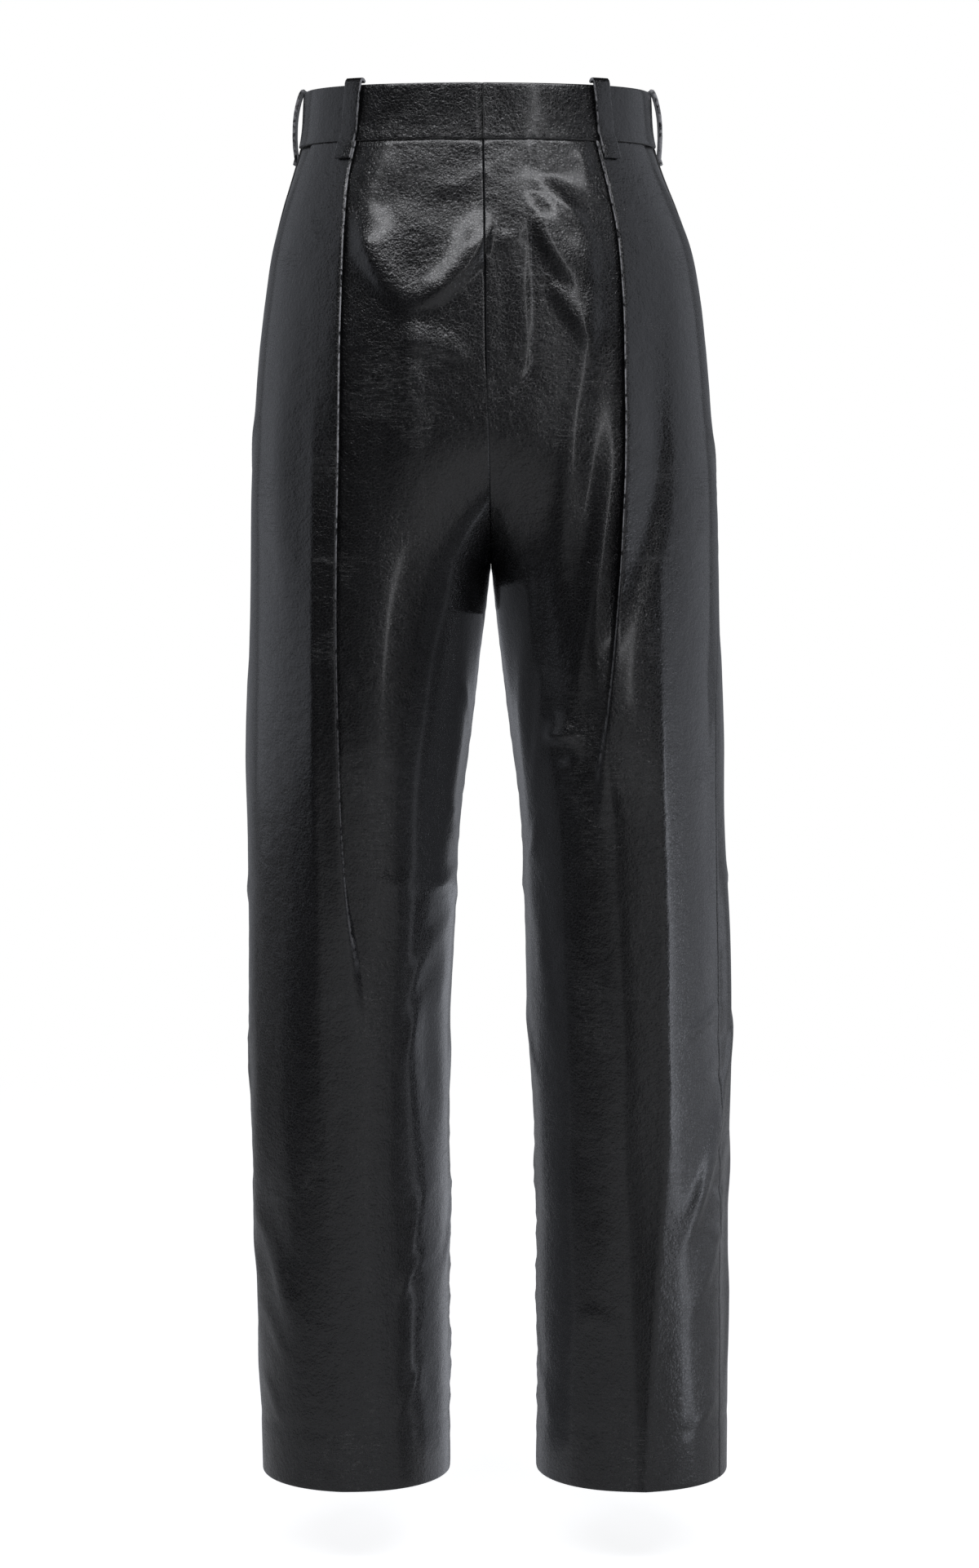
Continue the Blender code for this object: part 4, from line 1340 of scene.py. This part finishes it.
def suede_side():
    """The flesh side and the cut edges."""
    material, nodes, shader = new_material("flesh side")
    place = nodes.place()
    fuzz = nodes.noise(place, FUZZ_SCALE, 4.0)["Fac"]
    blotch = nodes.noise(place, BLOTCH_SCALE, 3.0)["Fac"]
    shade = nodes.mix(blotch, *FLESH_SHADES)
    normal = nodes.bump(nodes.math("MULTIPLY", fuzz, FUZZ_DEPTH), strength=0.8)
    nodes.set(shader, {
        "Base Color": shade, "Normal": normal,
        "Roughness": 0.82, "Sheen Weight": 0.25, "Sheen Roughness": 0.5,
    })
    return material


def thread():
    material, nodes, shader = new_material("waxed thread")
    twist = nodes.add("ShaderNodeTexWave", {
        "Vector": nodes.place(), "Scale": TWIST_SCALE, "Distortion": TWIST_BEND,
    }, bands_direction="DIAGONAL").outputs["Fac"]
    normal = nodes.bump(nodes.math("MULTIPLY", twist, TWIST_DEPTH))
    shade = nodes.mix(twist, *THREAD_SHADES)
    nodes.set(shader, {"Base Color": shade, "Normal": normal, "Roughness": 0.38})
    return material


# Floor, light and camera

# The floor fades to plain white far out. Its dark corner shows in reflections alone.
FLOOR_BELOW_HEM = 0.070
FLOOR_RADIUS = 30.0
FLOOR_FADE = (1.3, 2.6)
FLOOR_LIFT = 0.80
FLOOR_TINT_SCALE = 3.0
FLOOR_SHADES = ((0.80, 0.80, 0.80, 1.0), (0.83, 0.83, 0.83, 1.0))
DARK_CORNER_X = (-0.55, -1.20)
DARK_CORNER_Y = (-0.12, -0.35)
DARK_CORNER_SHADE = (0.14, 0.14, 0.145, 1.0)
DULL = {"Roughness": 0.9, "Specular IOR Level": 0.1}

CARD_SIZE = (0.78, 0.095, 1)
CARD_TURN = math.radians(87.8)
CARD_PLACE = (0.107, -0.158, -0.74)
CARD_GLOW = (-0.55, -0.80)
CARD_SHADES = ((0.03, 0.03, 0.031, 1.0), (0.09, 0.09, 0.094, 1.0))

WHITE = (1, 1, 1, 1)
ROOM_LIGHT = 0.03
COOL = (0.87, 0.905, 1.0)
NEUTRAL = (0.96, 0.965, 1.0)

# name, place, aim, width, height, radiance, colour and turn of each light
LIGHTS = (
    ("left wall", (1.7, 0.18, 0.35), (0, 0.18, 0.35), 2.44, 1.7, 0.66, COOL, 0.0),
    ("low left wall", (1.7, 0.35, -1.15), (0, 0.35, -1.15), 2.2, 1.3, 0.74, COOL, 0.0),
    ("right wall", (-1.7, 0.3, 0.25), (0, 0.3, 0.25), 2.4, 2.0, 0.58, COOL, 0.0),
    ("high front", (0.0, -2.4, 1.86), (0.0, 0.0, -0.15), 4.4, 0.52, 8.8, NEUTRAL, 0.0),
    ("backdrop", (0.0, 2.6, -0.1), (0.0, 0.0, -0.3), 4.6, 2.8, 0.20, COOL, 0.0),
    ("side strip", (1.50, -0.62, -0.86), (0.107, 0.0, -0.86), 0.20, 0.56, 4.0, COOL, 0.0),
    ("floor strip", (0.98, -0.40, -1.146), (0.98, -0.40, 0.0), 0.95, 0.14, 2.6, COOL, -23.5),
    ("between the legs", (0.004, 0.007, -0.88), (-0.1, 0.007, -0.88),
     0.114, 0.52, 0.50, COOL, 0.0),
    ("between the knees", (0.004, -0.004, -0.51), (-0.1, -0.004, -0.51),
     0.136, 0.22, 0.14, COOL, 0.0),
    ("between the legs, dim", (0.006, 0.0, -0.76), (0.1, 0.0, -0.76),
     0.150, 0.76, 0.17, COOL, 0.0),
    ("front strip", (0.95, -2.6, 0.20), (0.0, 0.0, -0.40), 0.16, 2.0, 6.0, NEUTRAL, 0.0),
    ("front fill", (-0.2, -3.4, -0.4), (0.0, 0.0, -0.55), 2.4, 2.2, 0.06, COOL, 0.0),
)

CAMERA_DISTANCE = 2.87
CAMERA_DOWN = math.radians(5.0)
CAMERA_ASIDE = 0.00915
AIM_HEIGHT = -0.53414
LENS = 84.11


def pale_floor():
    material, nodes, shader = new_material("pale floor")
    place = nodes.place()
    away = nodes.range(nodes.vector_math("LENGTH", place)["Value"], *FLOOR_FADE)
    tint = nodes.noise(place, FLOOR_TINT_SCALE, 2.0)["Fac"]
    shade = nodes.mix(tint, *FLOOR_SHADES)
    nodes.set(shader, {"Base Color": shade, **DULL})
    axes = nodes.add("ShaderNodeSeparateXYZ", {0: place}).outputs
    corner_x = nodes.range(axes["X"], *DARK_CORNER_X)
    corner_y = nodes.range(axes["Y"], *DARK_CORNER_Y)
    shaded = nodes.mix(nodes.math("MULTIPLY", corner_x, corner_y), shade, DARK_CORNER_SHADE)
    mirrored = nodes.add("ShaderNodeBsdfPrincipled", {"Base Color": shaded, **DULL}).outputs[0]
    seen = nodes.seen_by_camera()
    glow = nodes.add("ShaderNodeEmission", {"Color": WHITE, "Strength": 1.0}).outputs[0]
    lit = nodes.add("ShaderNodeEmission", {"Color": WHITE, "Strength": FLOOR_LIFT}).outputs[0]
    raised = nodes.add("ShaderNodeAddShader", {0: shader.outputs[0], 1: lit}).outputs[0]
    pale = nodes.shader_mix(away, raised, glow)
    both = nodes.shader_mix(seen, mirrored, pale)
    nodes.set(nodes.tree.nodes["Material Output"], {"Surface": both})
    return material


def floor():
    mesh = bmesh.new()
    bmesh.ops.create_circle(mesh, cap_ends=True, segments=96, radius=FLOOR_RADIUS)
    bmesh.ops.translate(mesh, verts=mesh.verts, vec=(0, 0, -OUTSEAM - FLOOR_BELOW_HEM))
    add_object("floor", mesh, (pale_floor(),))


def dull_card():
    material, nodes, shader = new_material("dull card")
    height = nodes.add("ShaderNodeSeparateXYZ", {0: nodes.place()}).outputs["Z"]
    glow = nodes.mix(nodes.range(height, *CARD_GLOW), *CARD_SHADES)
    nodes.set(shader, {
        "Base Color": (0, 0, 0, 1.0), "Roughness": 0.9, "Specular IOR Level": 0.0,
        "Emission Color": glow, "Emission Strength": 1.0,
    })
    return material


def flag():
    """A dull card ahead of the left leg.

    It keeps the light of the left walls off the inner side of the right leg.
    """
    mesh = bmesh.new()
    bmesh.ops.create_grid(mesh, x_segments=1, y_segments=1, size=0.5)
    bmesh.ops.scale(mesh, verts=mesh.verts, vec=CARD_SIZE)
    bmesh.ops.rotate(mesh, verts=mesh.verts, matrix=Matrix.Rotation(CARD_TURN, 3, "Y"))
    bmesh.ops.translate(mesh, verts=mesh.verts, vec=CARD_PLACE)
    card = add_object("flag", mesh, (dull_card(),))
    card.visible_camera = False
    card.visible_shadow = False


def area_light(name, place, aim, width, height, radiance, colour, turn):
    """A rectangular softbox that looks at aim, turned about the upright in degrees.

    radiance is its brightness when seen.
    """
    light = bpy.data.lights.new(name, "AREA")
    light.shape = "RECTANGLE"
    light.size = width
    light.size_y = height
    light.energy = radiance * math.pi * width * height
    light.color = colour
    thing = bpy.data.objects.new(name, light)
    thing.location = place
    facing = (Vector(aim) - Vector(place)).to_track_quat("-Z", "Y")
    turned = Quaternion((0, 0, 1), math.radians(turn)) @ facing
    thing.rotation_euler = turned.to_euler()
    thing.visible_camera = False
    bpy.context.scene.collection.objects.link(thing)


def studio():
    world = bpy.data.worlds.new("studio")
    world.use_nodes = True
    nodes = Nodes(world.node_tree)
    room = nodes.set(nodes.tree.nodes["Background"], {"Color": WHITE, "Strength": ROOM_LIGHT})
    white = nodes.add("ShaderNodeBackground", {"Color": WHITE, "Strength": 1.0})
    both = nodes.shader_mix(nodes.seen_by_camera(), room.outputs[0], white.outputs[0])
    nodes.set(nodes.tree.nodes["World Output"], {"Surface": both})
    bpy.context.scene.world = world
    for light in LIGHTS:
        area_light(*light)


def camera():
    data = bpy.data.cameras.new("camera")
    data.lens = LENS
    data.sensor_width = 36.0
    data.clip_start = 0.1
    thing = bpy.data.objects.new("camera", data)
    down, back = math.sin(CAMERA_DOWN), math.cos(CAMERA_DOWN)
    thing.location = (
        CAMERA_ASIDE, -CAMERA_DISTANCE * back, AIM_HEIGHT + CAMERA_DISTANCE * down,
    )
    thing.rotation_euler = (math.pi / 2 - CAMERA_DOWN, 0, 0)
    bpy.context.scene.collection.objects.link(thing)
    bpy.context.scene.camera = thing


def dress(piece, node):
    """Puts a sheet of leather in place of its solid."""
    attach(piece, "root")
    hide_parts(node)


def build():
    outside = black_leather()
    both = (outside, suede_side())
    rows = panel_rows()
    mouth = np.linspace(BAND_HEIGHT + SEAM_GAP, POCKET_DROP, FACING_ROWS)
    pocket = [(drop, 0.0) for drop in mouth]
    for side in ("left", "right"):
        dress(panel(f"leather_front_{side}", side, front_columns, rows, both),
              f"front_{side}")
        dress(panel(f"leather_back_{side}", side, back_columns, rows, both),
              f"back_{side}")
        dress(panel(f"pocket_leather_{side}", side, facing_columns, pocket, both),
              f"pocket_facing_{side}")
        dress(waistband(side, both), f"waistband_{side}")
    dress(fly_shield(both), "fly_shield")
    for place_name, side, share, form in LOOP_PLACES:
        loop = belt_loop(place_name, side, share, form, (outside,))
        dress(loop, f"belt_loop_{place_name}")
    stitches = fly_stitching(thread())
    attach(stitches, "root")
    floor()
    flag()
    studio()
    camera()
    bpy.context.scene.view_settings.view_transform = "Standard"


build()
